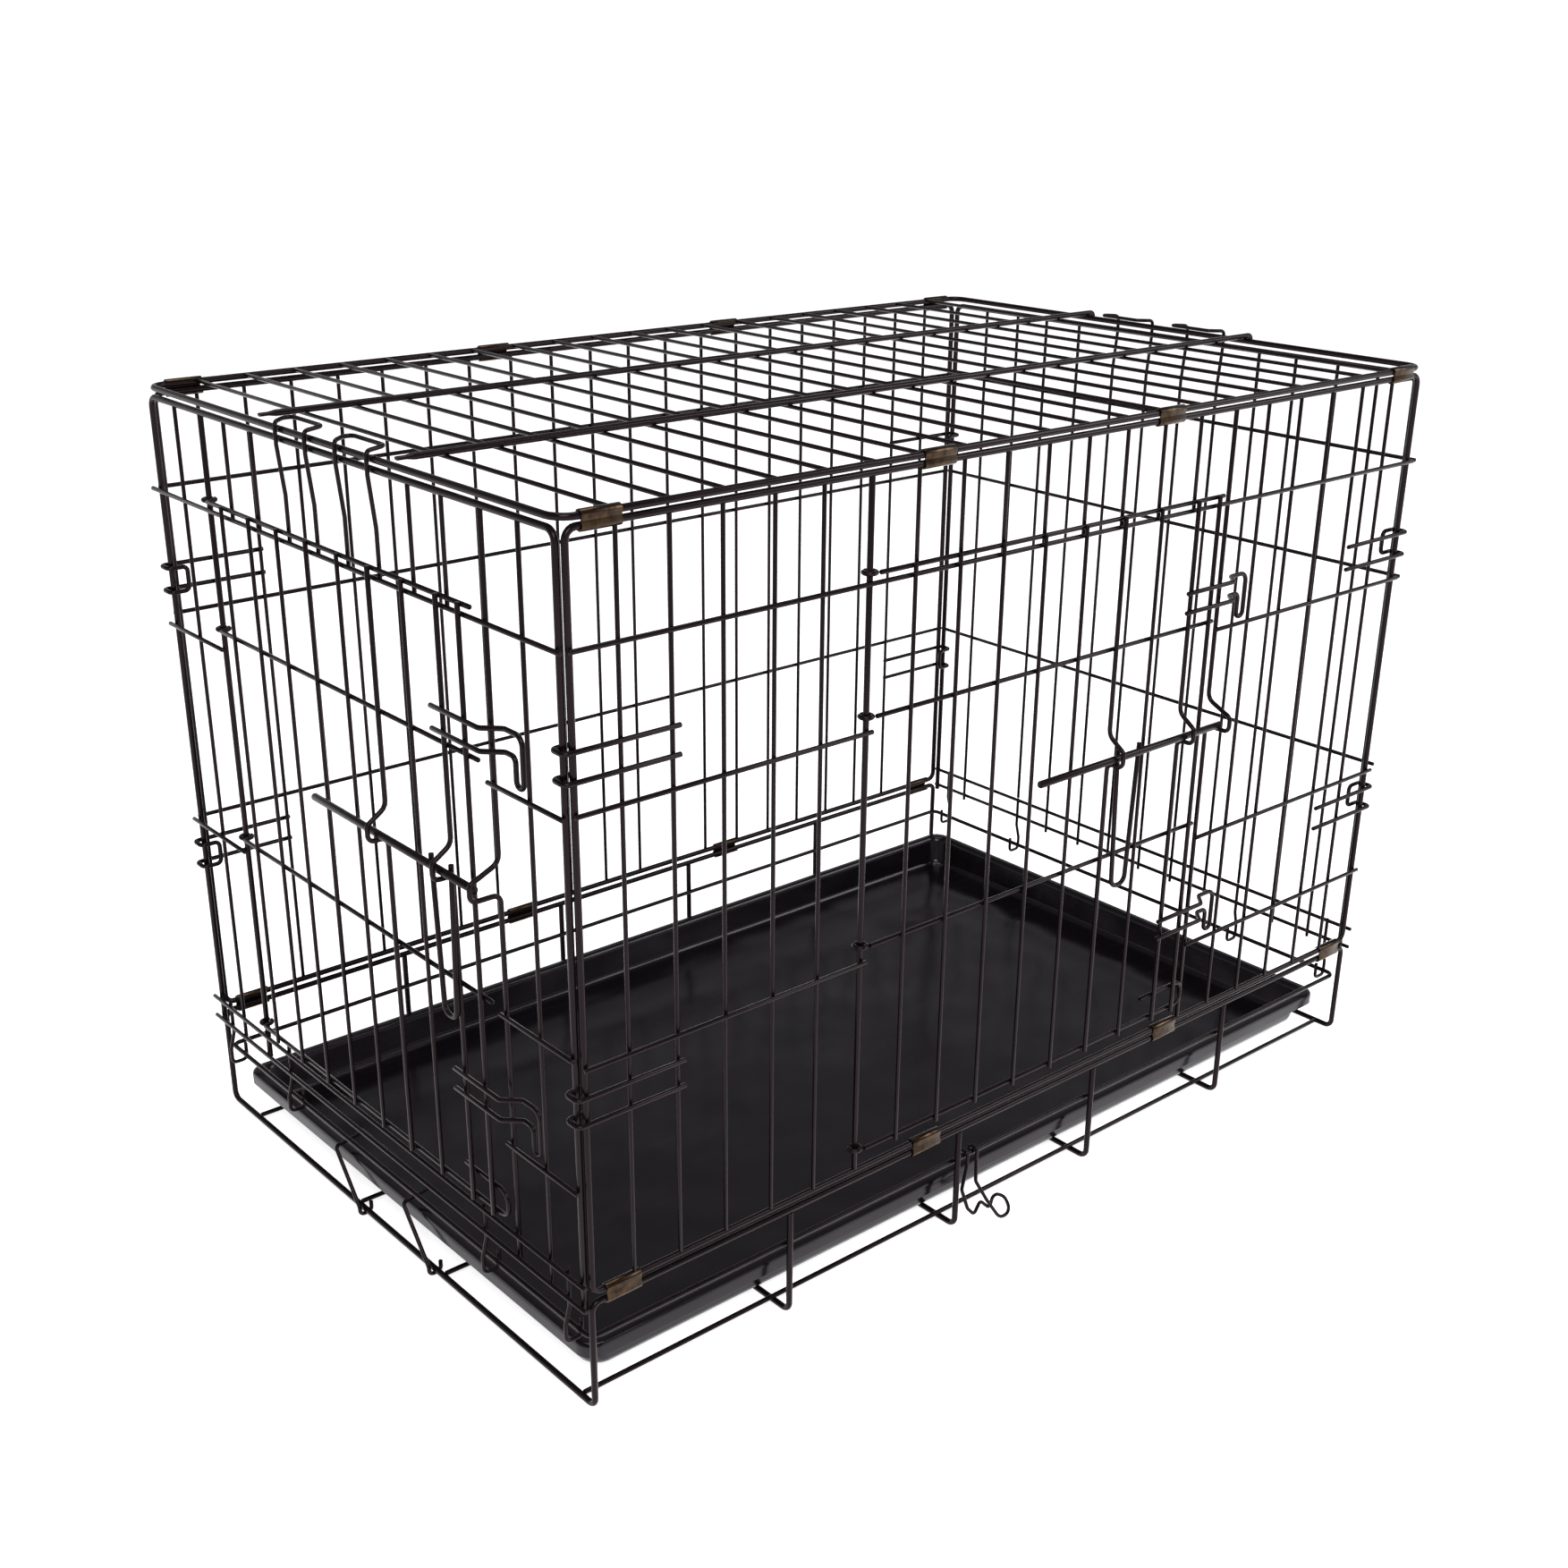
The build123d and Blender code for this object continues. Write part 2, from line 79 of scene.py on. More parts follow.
class NodeBench:
    """Builds one material's node tree."""

    def __init__(self, name: str) -> None:
        """Starts an empty node material.

        Args:
            name: Name of the material.
        """
        self.material = bpy.data.materials.new(name)
        self.material.use_nodes = True
        self.tree = self.material.node_tree
        self.tree.nodes.clear()

    def node(self, kind: str, settings: dict | None = None,
             inputs: dict | None = None) -> bpy.types.Node:
        """Adds one node.

        Args:
            kind: Type of the node.
            settings: Its options, or a ramp's stops under "stops".
            inputs: Socket name or number to a value, a link or a Value.

        Returns:
            The node.
        """
        made = self.tree.nodes.new(kind)
        for key, value in (settings or {}).items():
            if key == "stops":
                self.set_stops(made, value)
            else:
                setattr(made, key, value)
        for key, value in (inputs or {}).items():
            if isinstance(value, Value):
                value = value.socket
            if isinstance(value, bpy.types.NodeSocket):
                self.tree.links.new(value, made.inputs[key])
            else:
                made.inputs[key].default_value = value
        return made

    @staticmethod
    def set_stops(ramp_node: bpy.types.Node, stops: Sequence[tuple[float, Point]]) -> None:
        """Puts the stops on a colour ramp.

        Args:
            ramp_node: The ramp.
            stops: Position and colour of each stop, in order.
        """
        elements = ramp_node.color_ramp.elements
        while len(elements) < len(stops):
            elements.new(0.5)
        for element, (position, colour) in zip(elements, stops):
            element.position = position
            element.color = (*colour, 1.0)

    def place(self, scale: Point = (1.0, 1.0, 1.0)) -> bpy.types.NodeSocket:
        """Gives Object coordinates, stretched.

        Args:
            scale: Stretch along X, Y and Z.

        Returns:
            The vector socket.
        """
        where = self.node("ShaderNodeTexCoord").outputs["Object"]
        return self.node("ShaderNodeMapping", None, {"Vector": where, "Scale": scale}).outputs[0]

    def noise(self, scale: float, detail: float = 2.0,
              stretch: Point = (1.0, 1.0, 1.0)) -> "Value":
        """Gives noise in Object coordinates.

        Args:
            scale: Size of the pattern, in repeats per metre.
            detail: Octaves.
            stretch: Stretch along X, Y and Z.

        Returns:
            The noise, 0 to 1.
        """
        made = self.node("ShaderNodeTexNoise", None,
                         {"Vector": self.place(stretch), "Scale": scale, "Detail": detail})
        return Value(self, made.outputs["Fac"])

    def mix(self, amount: Number, low: Point, high: Point) -> bpy.types.NodeSocket:
        """Blends two colours.

        Args:
            amount: 0 gives low and 1 gives high.
            low: First colour.
            high: Second colour.

        Returns:
            The colour socket.
        """
        made = self.node("ShaderNodeMix", {"data_type": "RGBA"},
                         {0: amount, 6: (*low, 1.0), 7: (*high, 1.0)})
        return made.outputs[2]

    def bump(self, height: "Value", depth: float, strength: float) -> bpy.types.NodeSocket:
        """Turns a height into a normal.

        Args:
            height: Height, 0 to 1.
            depth: Depth in metres.
            strength: Strength of the effect.

        Returns:
            The normal socket.
        """
        made = self.node("ShaderNodeBump", None,
                         {"Height": height, "Distance": depth, "Strength": strength})
        return made.outputs["Normal"]

    def surface(self, inputs: dict) -> bpy.types.Material:
        """Ends the tree with one Principled shader.

        Args:
            inputs: Its sockets.

        Returns:
            The finished material.
        """
        shader = self.node("ShaderNodeBsdfPrincipled", None, inputs)
        self.node("ShaderNodeOutputMaterial", None, {"Surface": shader.outputs[0]})
        return self.material


class Value:
    """A number socket that can be used in Python expressions."""

    def __init__(self, bench: NodeBench, socket: bpy.types.NodeSocket) -> None:
        """Wraps a socket.

        Args:
            bench: Bench that the socket's node stands on.
            socket: The socket.
        """
        self.bench = bench
        self.socket = socket

    def _math(self, operation: str, *terms: Number) -> "Value":
        """Adds one Math node.

        Args:
            operation: Its operation.
            terms: Its inputs, in order.

        Returns:
            Its result.
        """
        made = self.bench.node("ShaderNodeMath", {"operation": operation}, dict(enumerate(terms)))
        return Value(self.bench, made.outputs[0])

    def __add__(self, other: Number) -> "Value":
        """Sum."""
        return self._math("ADD", self, other)

    __radd__ = __add__

    def __mul__(self, other: Number) -> "Value":
        """Product."""
        return self._math("MULTIPLY", self, other)

    __rmul__ = __mul__

    def __sub__(self, other: Number) -> "Value":
        """Difference."""
        return self._math("SUBTRACT", self, other)

    def __rsub__(self, other: Number) -> "Value":
        """Difference, reflected."""
        return self._math("SUBTRACT", other, self)

    def above(self, low: float, high: float) -> "Value":
        """Ramps from 0 at low to 1 at high, held to that range.

        Args:
            low: Start of the ramp.
            high: End of the ramp.

        Returns:
            The ramp.
        """
        made = self.bench.node("ShaderNodeMapRange", {"clamp": True},
                               {"Value": self, "From Min": low, "From Max": high})
        return Value(self.bench, made.outputs[0])


# ---- finishes --------------------------------------------------------------------------


@dataclass(frozen=True)
class BlackCoat:
    """Baked black electrocoat on steel wire."""

    name: str = "black_electrocoat"
    deep: Point = (0.0021, 0.0014, 0.0018)
    worn: Point = (0.0085, 0.0052, 0.0055)
    roughness: float = 0.20
    sheen_tint: Point = (1.0, 0.74, 0.86)

    def material(self) -> bpy.types.Material:
        """Mixes the coat: cloudy film, orange peel and rubbed places.

        Returns:
            The material.
        """
        bench = NodeBench(self.name)
        cloud = bench.noise(26.0, 3.0)
        peel = bench.noise(620.0, 1.0)
        speck = bench.noise(210.0, 4.0).above(0.60, 0.74)
        rub = bench.noise(9.0, 5.0).above(0.42, 0.72)
        return bench.surface({
            "Base Color": bench.mix(cloud * 0.55 + rub * 0.3 + speck * 0.25, self.deep, self.worn),
            "Roughness": self.roughness + (cloud - 0.5) * 0.16 + rub * 0.10 + speck * 0.12,
            "Specular IOR Level": 0.15,
            "Specular Tint": (*self.sheen_tint, 1.0),
            "Normal": bench.bump(peel * 0.6 + speck * 0.4, 0.00012, 0.35),
        })


@dataclass(frozen=True)
class ClipBronze:
    """Olive bronze lacquer on crimped sheet steel."""

    name: str = "clip_bronze"
    bright: Point = (0.062, 0.037, 0.019)
    dull: Point = (0.010, 0.006, 0.0045)

    def material(self) -> bpy.types.Material:
        """Mixes the sheet: drawn lines, stains and duller lacquer.

        Returns:
            The material.
        """
        bench = NodeBench(self.name)
        lines = bench.noise(120.0, 4.0, (0.12, 6.0, 6.0))
        stain = bench.noise(160.0, 4.0).above(0.38, 0.66)
        return bench.surface({
            "Base Color": bench.mix(stain * 0.7 + lines * 0.3, self.bright, self.dull),
            "Metallic": 0.9,
            "Roughness": 0.12 + stain * 0.16 + lines * 0.08,
            "Normal": bench.bump(lines * 0.7 + stain * 0.3, 0.00010, 0.4),
        })


@dataclass(frozen=True)
class TrayPlastic:
    """Black moulded polypropylene, satin with long scuffs."""

    name: str = "tray_plastic"
    black: Point = (0.0032, 0.0026, 0.0032)
    scuffed: Point = (0.0085, 0.0070, 0.0078)
    roughness: float = 0.13
    gloss_tint: Point = (0.95, 0.86, 0.97)

    def material(self) -> bpy.types.Material:
        """Mixes the plastic: fine grain, slow waves, and scuffs along the tray.

        Returns:
            The material.
        """
        bench = NodeBench(self.name)
        grain = bench.noise(1500.0, 1.0)
        wave = bench.noise(11.0, 1.0)
        scuff = bench.noise(34.0, 6.0, (0.35, 2.4, 1.0)).above(0.52, 0.78)
        dust = bench.noise(5.0, 4.0).above(0.40, 0.75)
        return bench.surface({
            "Base Color": bench.mix(scuff * 0.45 + dust * 0.30, self.black, self.scuffed),
            "Roughness": self.roughness + scuff * 0.05 + dust * 0.05 + (grain - 0.5) * 0.02,
            "Specular IOR Level": 0.33,
            "Specular Tint": (*self.gloss_tint, 1.0),
            "Normal": bench.bump(grain * 0.010 + wave, 0.0050, 0.6),
        })


@dataclass(frozen=True)
class FloorPaint:
    """Pale studio floor."""

    name: str = "studio_floor"
    pale: Point = (0.96, 0.96, 0.965)
    glow: float = 0.80

    def material(self) -> bpy.types.Material:
        """Mixes the floor.

        Returns:
            The material.
        """
        bench = NodeBench(self.name)
        cloud = bench.noise(3.0)
        return bench.surface({
            "Base Color": bench.mix(cloud, self.pale, (0.95, 0.95, 0.95)),
            "Roughness": 0.8,
            "Emission Color": (*self.pale, 1.0),
            "Emission Strength": self.glow,
        })


# ---- walls and wire --------------------------------------------------------------------


class Wall(Enum):
    """The four upright walls."""

    FRONT = "front"
    BACK = "back"
    LEFT = "left"
    RIGHT = "right"

    def at(self, along: float, out: float, up: float) -> tuple[float, float, float]:
        """Turns a place on the wall into crate coordinates.

        Args:
            along: Millimetres along the wall.
            out: Millimetres outwards from the frame wires' plane.
            up: Height in millimetres.

        Returns:
            The point in millimetres.
        """
        if self is Wall.FRONT:
            return (along, -WALL_Y - out, up)
        if self is Wall.BACK:
            return (along, WALL_Y + out, up)
        if self is Wall.LEFT:
            return (-WALL_X - out, along, up)
        return (WALL_X + out, along, up)


@dataclass(frozen=True)
class Gauges:
    """Wire sizes and the layers they lie in, in millimetres."""

    frame: float = 5.0
    cross: float = 3.6
    up: float = 3.2
    eye: float = 3.8
    hinge: float = 4.6
    rod: float = 6.0
    handle: float = 4.0
    floor: float = 4.0
    pivot: float = 4.0
    stop: float = 3.4
    hook: float = 3.0
    out_cross: float = 4.33
    out_up: float = 0.90
    out_eye: float = 0.60
    out_hinge: float = 0.20


G = Gauges()


def edit() -> None:
    """Enters edit mode on the active object."""
    bpy.ops.object.mode_set(mode="EDIT")


def leave() -> None:
    """Leaves edit mode."""
    bpy.ops.object.mode_set(mode="OBJECT")


def quiet() -> None:
    """Leaves edit mode and deselects everything."""
    if bpy.context.object and bpy.context.object.mode != "OBJECT":
        leave()
    bpy.ops.object.select_all(action="DESELECT")


def settle(piece: Piece) -> Piece:
    """Applies a piece's place, points its faces outwards and smooths it.

    Args:
        piece: The piece.

    Returns:
        The piece.
    """
    quiet()
    piece.select_set(True)
    bpy.context.view_layer.objects.active = piece
    bpy.ops.object.transform_apply(location=True, rotation=True, scale=True)
    edit()
    bpy.ops.mesh.select_all(action="SELECT")
    bpy.ops.mesh.remove_doubles(threshold=0.000002)
    bpy.ops.mesh.normals_make_consistent(inside=False)
    leave()
    bpy.ops.object.shade_smooth_by_angle(angle=math.radians(SHARP))
    return piece


def pick_verts(piece: Piece, wanted: Callable[[Vector], bool]) -> None:
    """Selects some vertices, and leaves edit mode on.

    Args:
        piece: The piece.
        wanted: Tells from a vertex's place whether it is selected.
    """
    edit()
    bpy.ops.mesh.select_mode(type="VERT")
    mesh = bmesh.from_edit_mesh(piece.data)
    for vert in mesh.verts:
        vert.select_set(bool(wanted(vert.co)))
    mesh.select_flush_mode()
    bmesh.update_edit_mesh(piece.data)


def pick_faces(piece: Piece, wanted: Callable[[Vector], bool]) -> None:
    """Selects some faces, in edit mode.

    Args:
        piece: The piece.
        wanted: Tells from a face's middle whether it is selected.
    """
    bpy.ops.mesh.select_mode(type="FACE")
    mesh = bmesh.from_edit_mesh(piece.data)
    for face in mesh.faces:
        face.select_set(bool(wanted(face.calc_center_median())))
    bmesh.update_edit_mesh(piece.data)


class WireBender:
    """Cuts and bends round wire with edit-mode extrude, spin and bevel."""

    def __init__(self, sides: int = 14, bend_steps: int = 5, ring_steps: int = 24) -> None:
        """Sets how fine the wire is.

        Args:
            sides: Faces round the wire.
            bend_steps: Steps in a quarter bend.
            ring_steps: Steps in a ring.
        """
        self.ring_steps = ring_steps
        self.sides = sides
        self.bend_steps = bend_steps

    def straight(self, start: Point, end: Point, thick: float, nose: float = NOSE) -> Piece:
        """Cuts a straight wire with rubbed ends.

        Args:
            start: One end, in millimetres.
            end: The other end.
            thick: Its diameter.
            nose: Size of the rounding at the ends.

        Returns:
            The wire.
        """
        a, b = Vector(start) * MM, Vector(end) * MM
        run = b - a
        turn = UP.rotation_difference(run).to_euler()
        quiet()
        bpy.ops.mesh.primitive_cylinder_add(vertices=self.sides, radius=thick / 2 * MM,
                                            depth=run.length, location=(a + b) / 2, rotation=turn)
        wire = bpy.context.active_object
        self._round_ends(wire, nose)
        bpy.ops.object.transform_apply(location=True, rotation=True, scale=True)
        return wire

    def bent(self, points: Sequence[Point], thick: float, radius: float | Sequence[float],
             closed: bool = False) -> Piece:
        """Bends a wire through corners.

        Args:
            points: Corners, in millimetres.
            thick: Its diameter.
            radius: Radius of every bend, or of each in turn.
            closed: Whether the wire is welded into a ring.

        Returns:
            The wire.
        """
        spots = [Vector(p) * MM for p in points]
        if closed:
            spots = [(spots[-1] + spots[0]) / 2, *spots, (spots[-1] + spots[0]) / 2]
        here = spots[0]
        corners = len(spots) - 2
        radii = [radius] * corners if isinstance(radius, (int, float)) else radius
        turn = UP.rotation_difference(spots[1] - here).to_euler()
        quiet()
        bpy.ops.mesh.primitive_circle_add(vertices=self.sides, radius=thick / 2 * MM,
                                          fill_type="NGON", location=here, rotation=turn)
        wire = bpy.context.active_object
        edit()
        for corner, after, bend in zip(spots[1:-1], spots[2:], radii):
            back = (here - corner).normalized()
            on = (after - corner).normalized()
            half = back.angle(on) / 2
            if half > math.radians(89.5):
                continue
            reach = bend * MM / math.tan(half)
            centre = corner + (back + on).normalized() * bend * MM / math.sin(half)
            self._push(corner + back * reach - here)
            bpy.ops.mesh.spin(steps=self._steps(math.pi - 2 * half), angle=math.pi - 2 * half,
                              center=centre, axis=self._spin_axis(back, on))
            here = corner + on * reach
        self._push(spots[-1] - here)
        leave()
        if closed:
            self._weld_ends(wire, spots[0])
        else:
            self._round_ends(wire, NOSE)
        return settle(wire)

    def ring(self, centre: Point, opening: Point, radius: float, thick: float,
             gap: float = 24.0) -> Piece:
        """Curls a wire into a level ring that stands a little open.

        Args:
            centre: Middle of the ring, in millimetres.
            opening: Direction from the middle to the gap.
            radius: Radius of the wire's middle line.
            thick: Diameter of the wire.
            gap: Size of the gap, in degrees.

        Returns:
            The ring.
        """
        middle = Vector(centre) * MM
        turned = Matrix.Rotation(math.radians(gap / 2), 3, "Z") @ Vector(opening).normalized()
        quiet()
        bpy.ops.mesh.primitive_circle_add(
            vertices=self.sides, radius=thick / 2 * MM, fill_type="NGON",
            location=middle + turned * radius * MM,
            rotation=UP.rotation_difference(Vector((-turned.y, turned.x, 0))).to_euler())
        wire = bpy.context.active_object
        edit()
        bpy.ops.mesh.spin(steps=self.ring_steps, angle=math.radians(360.0 - gap),
                          center=middle, axis=(0, 0, 1))
        leave()
        self._round_ends(wire, NOSE)
        return settle(wire)

    def _steps(self, angle: float) -> int:
        """Gives the number of steps in a bend of an angle in radians."""
        return max(2, round(self.bend_steps * angle / (math.pi / 2)))

    @staticmethod
    def _spin_axis(back: Vector, on: Vector) -> Vector:
        """Gives the axis that a bend turns about."""
        return back.cross(on).normalized()

    @staticmethod
    def _push(run: Vector) -> None:
        """Extrudes the selected end along a run in metres."""
        if run.length > 1e-7:
            bpy.ops.mesh.extrude_region_move(TRANSFORM_OT_translate={"value": tuple(run)})

    @staticmethod
    def _pick_ends(wire: Piece, near: Vector | None = None) -> None:
        """Selects a wire's flat ends, the faces with more than four corners, in edit mode.

        Args:
            wire: The wire, which is the active object.
            near: Place that the ends lie at, or None for any place.
        """
        edit()
        bpy.ops.mesh.select_mode(type="FACE")
        bpy.ops.mesh.select_all(action="DESELECT")
        leave()
        for face in wire.data.polygons:
            face.select = len(face.vertices) > 4 and (
                near is None or (face.center - near).length < SAME_PLACE)
        edit()

    def _round_ends(self, wire: Piece, nose: float) -> None:
        """Rounds the cut ends of a wire.

        Args:
            wire: The wire, which is the active object.
            nose: Size of the rounding, in millimetres.
        """
        self._pick_ends(wire)
        bpy.ops.mesh.bevel(offset=nose * MM, segments=2, affect="EDGES")
        leave()

    def _weld_ends(self, wire: Piece, seam: Vector) -> None:
        """Opens both ends of a ring at its seam, so that they merge.

        Args:
            wire: The wire, which is the active object.
            seam: Middle of the seam.
        """
        self._pick_ends(wire, wire.matrix_world.inverted() @ seam)
        bpy.ops.mesh.delete(type="ONLY_FACE")
        leave()


def copied(piece: Piece, move: Point, mirror: Point = (1, 1, 1)) -> Piece:
    """Copies a piece with its own mesh.

    Args:
        piece: What is copied.
        move: How far the copy stands off, in millimetres.
        mirror: -1 on an axis that the copy is mirrored on.

    Returns:
        The copy.
    """
    twin = piece.copy()
    twin.data = piece.data.copy()
    twin.data.transform(Matrix.Translation(Vector(move) * MM) @ Matrix.Diagonal((*mirror, 1)))
    if mirror[0] * mirror[1] * mirror[2] < 0:
        twin.data.flip_normals()
    bpy.context.collection.objects.link(twin)
    return twin


def joined(name: str, parts: Iterable[Piece]) -> Piece:
    """Joins parts into one named piece.

    Args:
        name: Name of the piece.
        parts: What is joined.

    Returns:
        The piece.
    """
    parts = list(parts)
    quiet()
    for part in parts:
        part.select_set(True)
    bpy.context.view_layer.objects.active = parts[0]
    if len(parts) > 1:
        bpy.ops.object.join()
    piece = bpy.context.view_layer.objects.active
    piece.name = name
    piece.data.name = name
    bpy.ops.object.shade_smooth_by_angle(angle=math.radians(SHARP))
    return piece


class Finishes:
    """The crate's materials, made once."""

    def __init__(self) -> None:
        """Mixes every finish."""
        self.coat = BlackCoat().material()
        self.bronze = ClipBronze().material()
        self.plastic = TrayPlastic().material()
        self.floor = FloorPaint().material()

    @staticmethod
    def dress(piece: Piece, material: bpy.types.Material) -> None:
        """Gives a piece one material."""
        piece.data.materials.clear()
        piece.data.materials.append(material)


class Assembly:
    """Joins parts into pieces, dresses them and puts them on their bodies."""

    def __init__(self, finishes: Finishes, bender: WireBender) -> None:
        """Starts an assembly.

        Args:
            finishes: The materials.
            bender: What makes the wire.
        """
        self.finishes = finishes
        self.bender = bender

    def fit(self, node: str, body: str, parts: Iterable[Piece],
            slot: str = "wire_black") -> None:
        """Joins parts into the piece that stands for a node.

        Args:
            node: The node.
            body: The body it rides on.
            parts: What it is made of.
            slot: Material slot it takes its finish from.
        """
        piece = joined(node + "_detail", parts)
        material = {"wire_black": self.finishes.coat, "clip_steel": self.finishes.bronze,
                    "tray_plastic": self.finishes.plastic}[slot]
        self.finishes.dress(piece, material)
        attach(piece, body)
        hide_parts(node)
        LOG.info("%s: %d faces on %s", piece.name, len(piece.data.polygons), body)


def spread(first: Piece, steps: Iterable[Point]) -> list[Piece]:
    """Gives a wire and its copies.

    Args:
        first: The wire.
        steps: Place of each copy from the first, in millimetres.

    Returns:
        The wire and the copies.
    """
    return [first, *(copied(first, step) for step in steps)]


def row(first: Piece, axis: int, places: Point) -> list[Piece]:
    """Gives a wire that stands at the first of some places, and copies at the others.

    Args:
        first: The wire.
        axis: What the places are counted along: 0 for X, 1 for Y, 2 for Z.
        places: The places, in millimetres.

    Returns:
        The wire and the copies.
    """
    return spread(first, [[place - places[0] if i == axis else 0 for i in range(3)]
                          for place in places[1:]])


RING_CORNERS = ((-1, -1), (1, -1), (1, 1), (-1, 1))


# ---- base and top ----------------------------------------------------------------------


@dataclass
class Base:
    """Wire base: rails, cross wires under the tray, and the rail the ends hang on."""

    half_x: float = 447.0
    half_y: float = WALL_Y
    corner: float = 7.0
    rail_z: float = 95.0
    rail_lap: float = 2.4
    end_wire_z: float = 6.4
    cross_xs: Point = (-264.0, -83.0, 81.0, 262.0)
    floor_ys: Point = (-266.0, -77.0, 56.0, 238.0)
    under_z: float = 2.5
    floor_x: float = 444.4
    floor_z: float = 7.0
    pivot_x: float = 446.0
    pivot_in: float = 4.53
    pivot_z: float = 63.0

    def build(self, shop: Assembly) -> None:
        """Builds the base.

        Args:
            shop: What makes, dresses and places the pieces.
        """
        bend = shop.bender
        loop: list[Point] = []
        for sx, sy in RING_CORNERS:
            high = (self.half_x * sx, self.half_y * sy, self.rail_z)
            low = (high[0], high[1], self.end_wire_z)
            loop += [high, low] if sx * sy < 0 else [low, high]
        shop.fit("base_frame_wire", "crate",
                 [bend.bent(loop, G.frame, self.corner, closed=True)])
        x, low, top = self.cross_xs[0], self.under_z, self.rail_z - self.rail_lap
        first = bend.bent([(x, -self.half_y, top), (x, -self.half_y, low),
                           (x, self.half_y, low), (x, self.half_y, top)], G.frame, self.corner)
        shop.fit("base_cross_wires", "crate", row(first, 0, self.cross_xs))
        y = self.floor_ys[0]
        first = bend.straight((-self.floor_x, y, self.floor_z), (self.floor_x, y, self.floor_z),
                              G.floor)
        shop.fit("base_floor_wires", "crate", row(first, 1, self.floor_ys))
        rail_y = self.half_y - self.pivot_in
        ring = [(sx * self.pivot_x, sy * rail_y, self.pivot_z) for sx, sy in RING_CORNERS]
        shop.fit("base_pivot_rail", "crate", [bend.bent(ring, G.pivot, self.corner, closed=True)])


@dataclass
class TopPanel:
    """Top grid with two stiffeners laid over it."""

    z: float = 650.6
    half_x: float = WALL_X
    half_y: float = WALL_Y
    corner: float = 14.0
    first_x: float = -410.0
    pitch: float = 42.9
    count: int = 20
    cross_lift: float = 0.9
    stiffener_ys: Point = (-98.0, 95.0)
    stiffener_lift: float = 5.0
    stiffener_xs: Point = (-449.0, 455.0)
    stiffener_foot: float = 2.5
    press_from: Point = (-436.0, -442.0)
    press_middle: float = -446.0
    press: Point = (1.0, 1.22, 0.58)

    def build(self, shop: Assembly) -> None:
        """Builds the top.

        Args:
            shop: What makes, dresses and places the pieces.
        """
        bend = shop.bender
        ring = [(sx * self.half_x, sy * self.half_y, self.z) for sx, sy in RING_CORNERS]
        shop.fit("top_frame_wire", "crate", [bend.bent(ring, G.frame, self.corner, closed=True)])
        reach = self.half_y - SHORT
        level = self.z + self.cross_lift
        first = bend.straight((self.first_x, -reach, level), (self.first_x, reach, level), G.up)
        shop.fit("top_cross_wires", "crate",
                 spread(first, [(self.pitch * i, 0, 0) for i in range(1, self.count)]))
        y, over = self.stiffener_ys[0], self.z + self.stiffener_lift
        start, end = self.stiffener_xs
        first = bend.bent([(start, y, over), (end, y, over),
                           (end, y, self.z - self.stiffener_foot)], G.frame, 4.0)
        self.flatten(first, (self.press_middle, y, over))
        shop.fit("top_stiffeners", "crate", row(first, 1, self.stiffener_ys))

    def flatten(self, wire: Piece, tip: Point) -> None:
        """Presses a stiffener's free end flat.

        Args:
            wire: The stiffener.
            tip: Middle of what is pressed, in millimetres.
        """
        for cut in self.press_from:
            edit()
            bpy.ops.mesh.select_all(action="SELECT")
            bpy.ops.mesh.bisect(plane_co=(cut * MM, 0, 0), plane_no=(1, 0, 0))
            leave()
        limit = (self.press_from[-1] + 0.1) * MM
        pick_verts(wire, lambda place: place.x < limit)
        bpy.ops.transform.resize(value=self.press, center_override=tuple(Vector(tip) * MM))
        leave()


# ---- panels ----------------------------------------------------------------------------


@dataclass
class Panel:
    """A wall panel: bent frame, uprights inside and level wires outside."""

    wall: Wall
    has_door: bool
    bolt_z: float = 387.0
    bolt_out: float = 18.0
    level_1: float = 570.0

    @property
    def name(self) -> str:
        """Name that the panel's nodes start with."""
        return self.wall.value

    def uprights(self, bend: WireBender, alongs: Sequence[float], low: float, high: float,
                 thick: float = G.up, out: float = G.out_up) -> list[Piece]:
        """Cuts uprights of one length.

        Args:
            bend: What makes the wire.
            alongs: Their places along the wall.
            low: Height of their lower ends.
            high: Height of their upper ends.
            thick: Diameter.
            out: Layer.

        Returns:
            The uprights.
        """
        at = self.wall.at
        first = bend.straight(at(alongs[0], out, low), at(alongs[0], out, high), thick)
        base = Vector(at(alongs[0], 0, 0))
        return spread(first, [Vector(at(u, 0, 0)) - base for u in alongs[1:]])

    def levels(self, bend: WireBender, rows: Sequence[Point]) -> list[Piece]:
        """Cuts level wires.

        Args:
            bend: What makes the wire.
            rows: Start and end along the wall, and height, of each.

        Returns:
            The wires.
        """
        at = self.wall.at
        return [bend.straight(at(a, G.out_cross, z), at(b, G.out_cross, z), G.cross)
                for a, b, z in rows]

    def keeper(self, bend: WireBender, along: float, low: float, high: float) -> Piece:
        """Bends the jamb wire with the eye that the bolt shoots into.

        Args:
            bend: What makes the wire.
            along: Its place along the wall.
            low: Height of its lower end.
            high: Height of its upper end.

        Returns:
            The wire.
        """
        at, z = self.wall.at, self.bolt_z
        eye = [at(along, out, z + up) for out, up in eye_shape(G.out_eye, self.bolt_out)]
        return bend.bent([at(along, G.out_eye, high), *eye, at(along, G.out_eye, low)],
                         G.eye, EYE_BENDS)


EYE_CLEAR = 1.4           # room round the bolt, in millimetres
EYE_TOP = 17.0            # height over the bolt's axis where a wire bends out into its eye
EYE_SHOULDER = 6.5        # height over the bolt's axis where the eye turns down
EYE_BENDS = (9.0, 4.6, 5.0, 6.0)


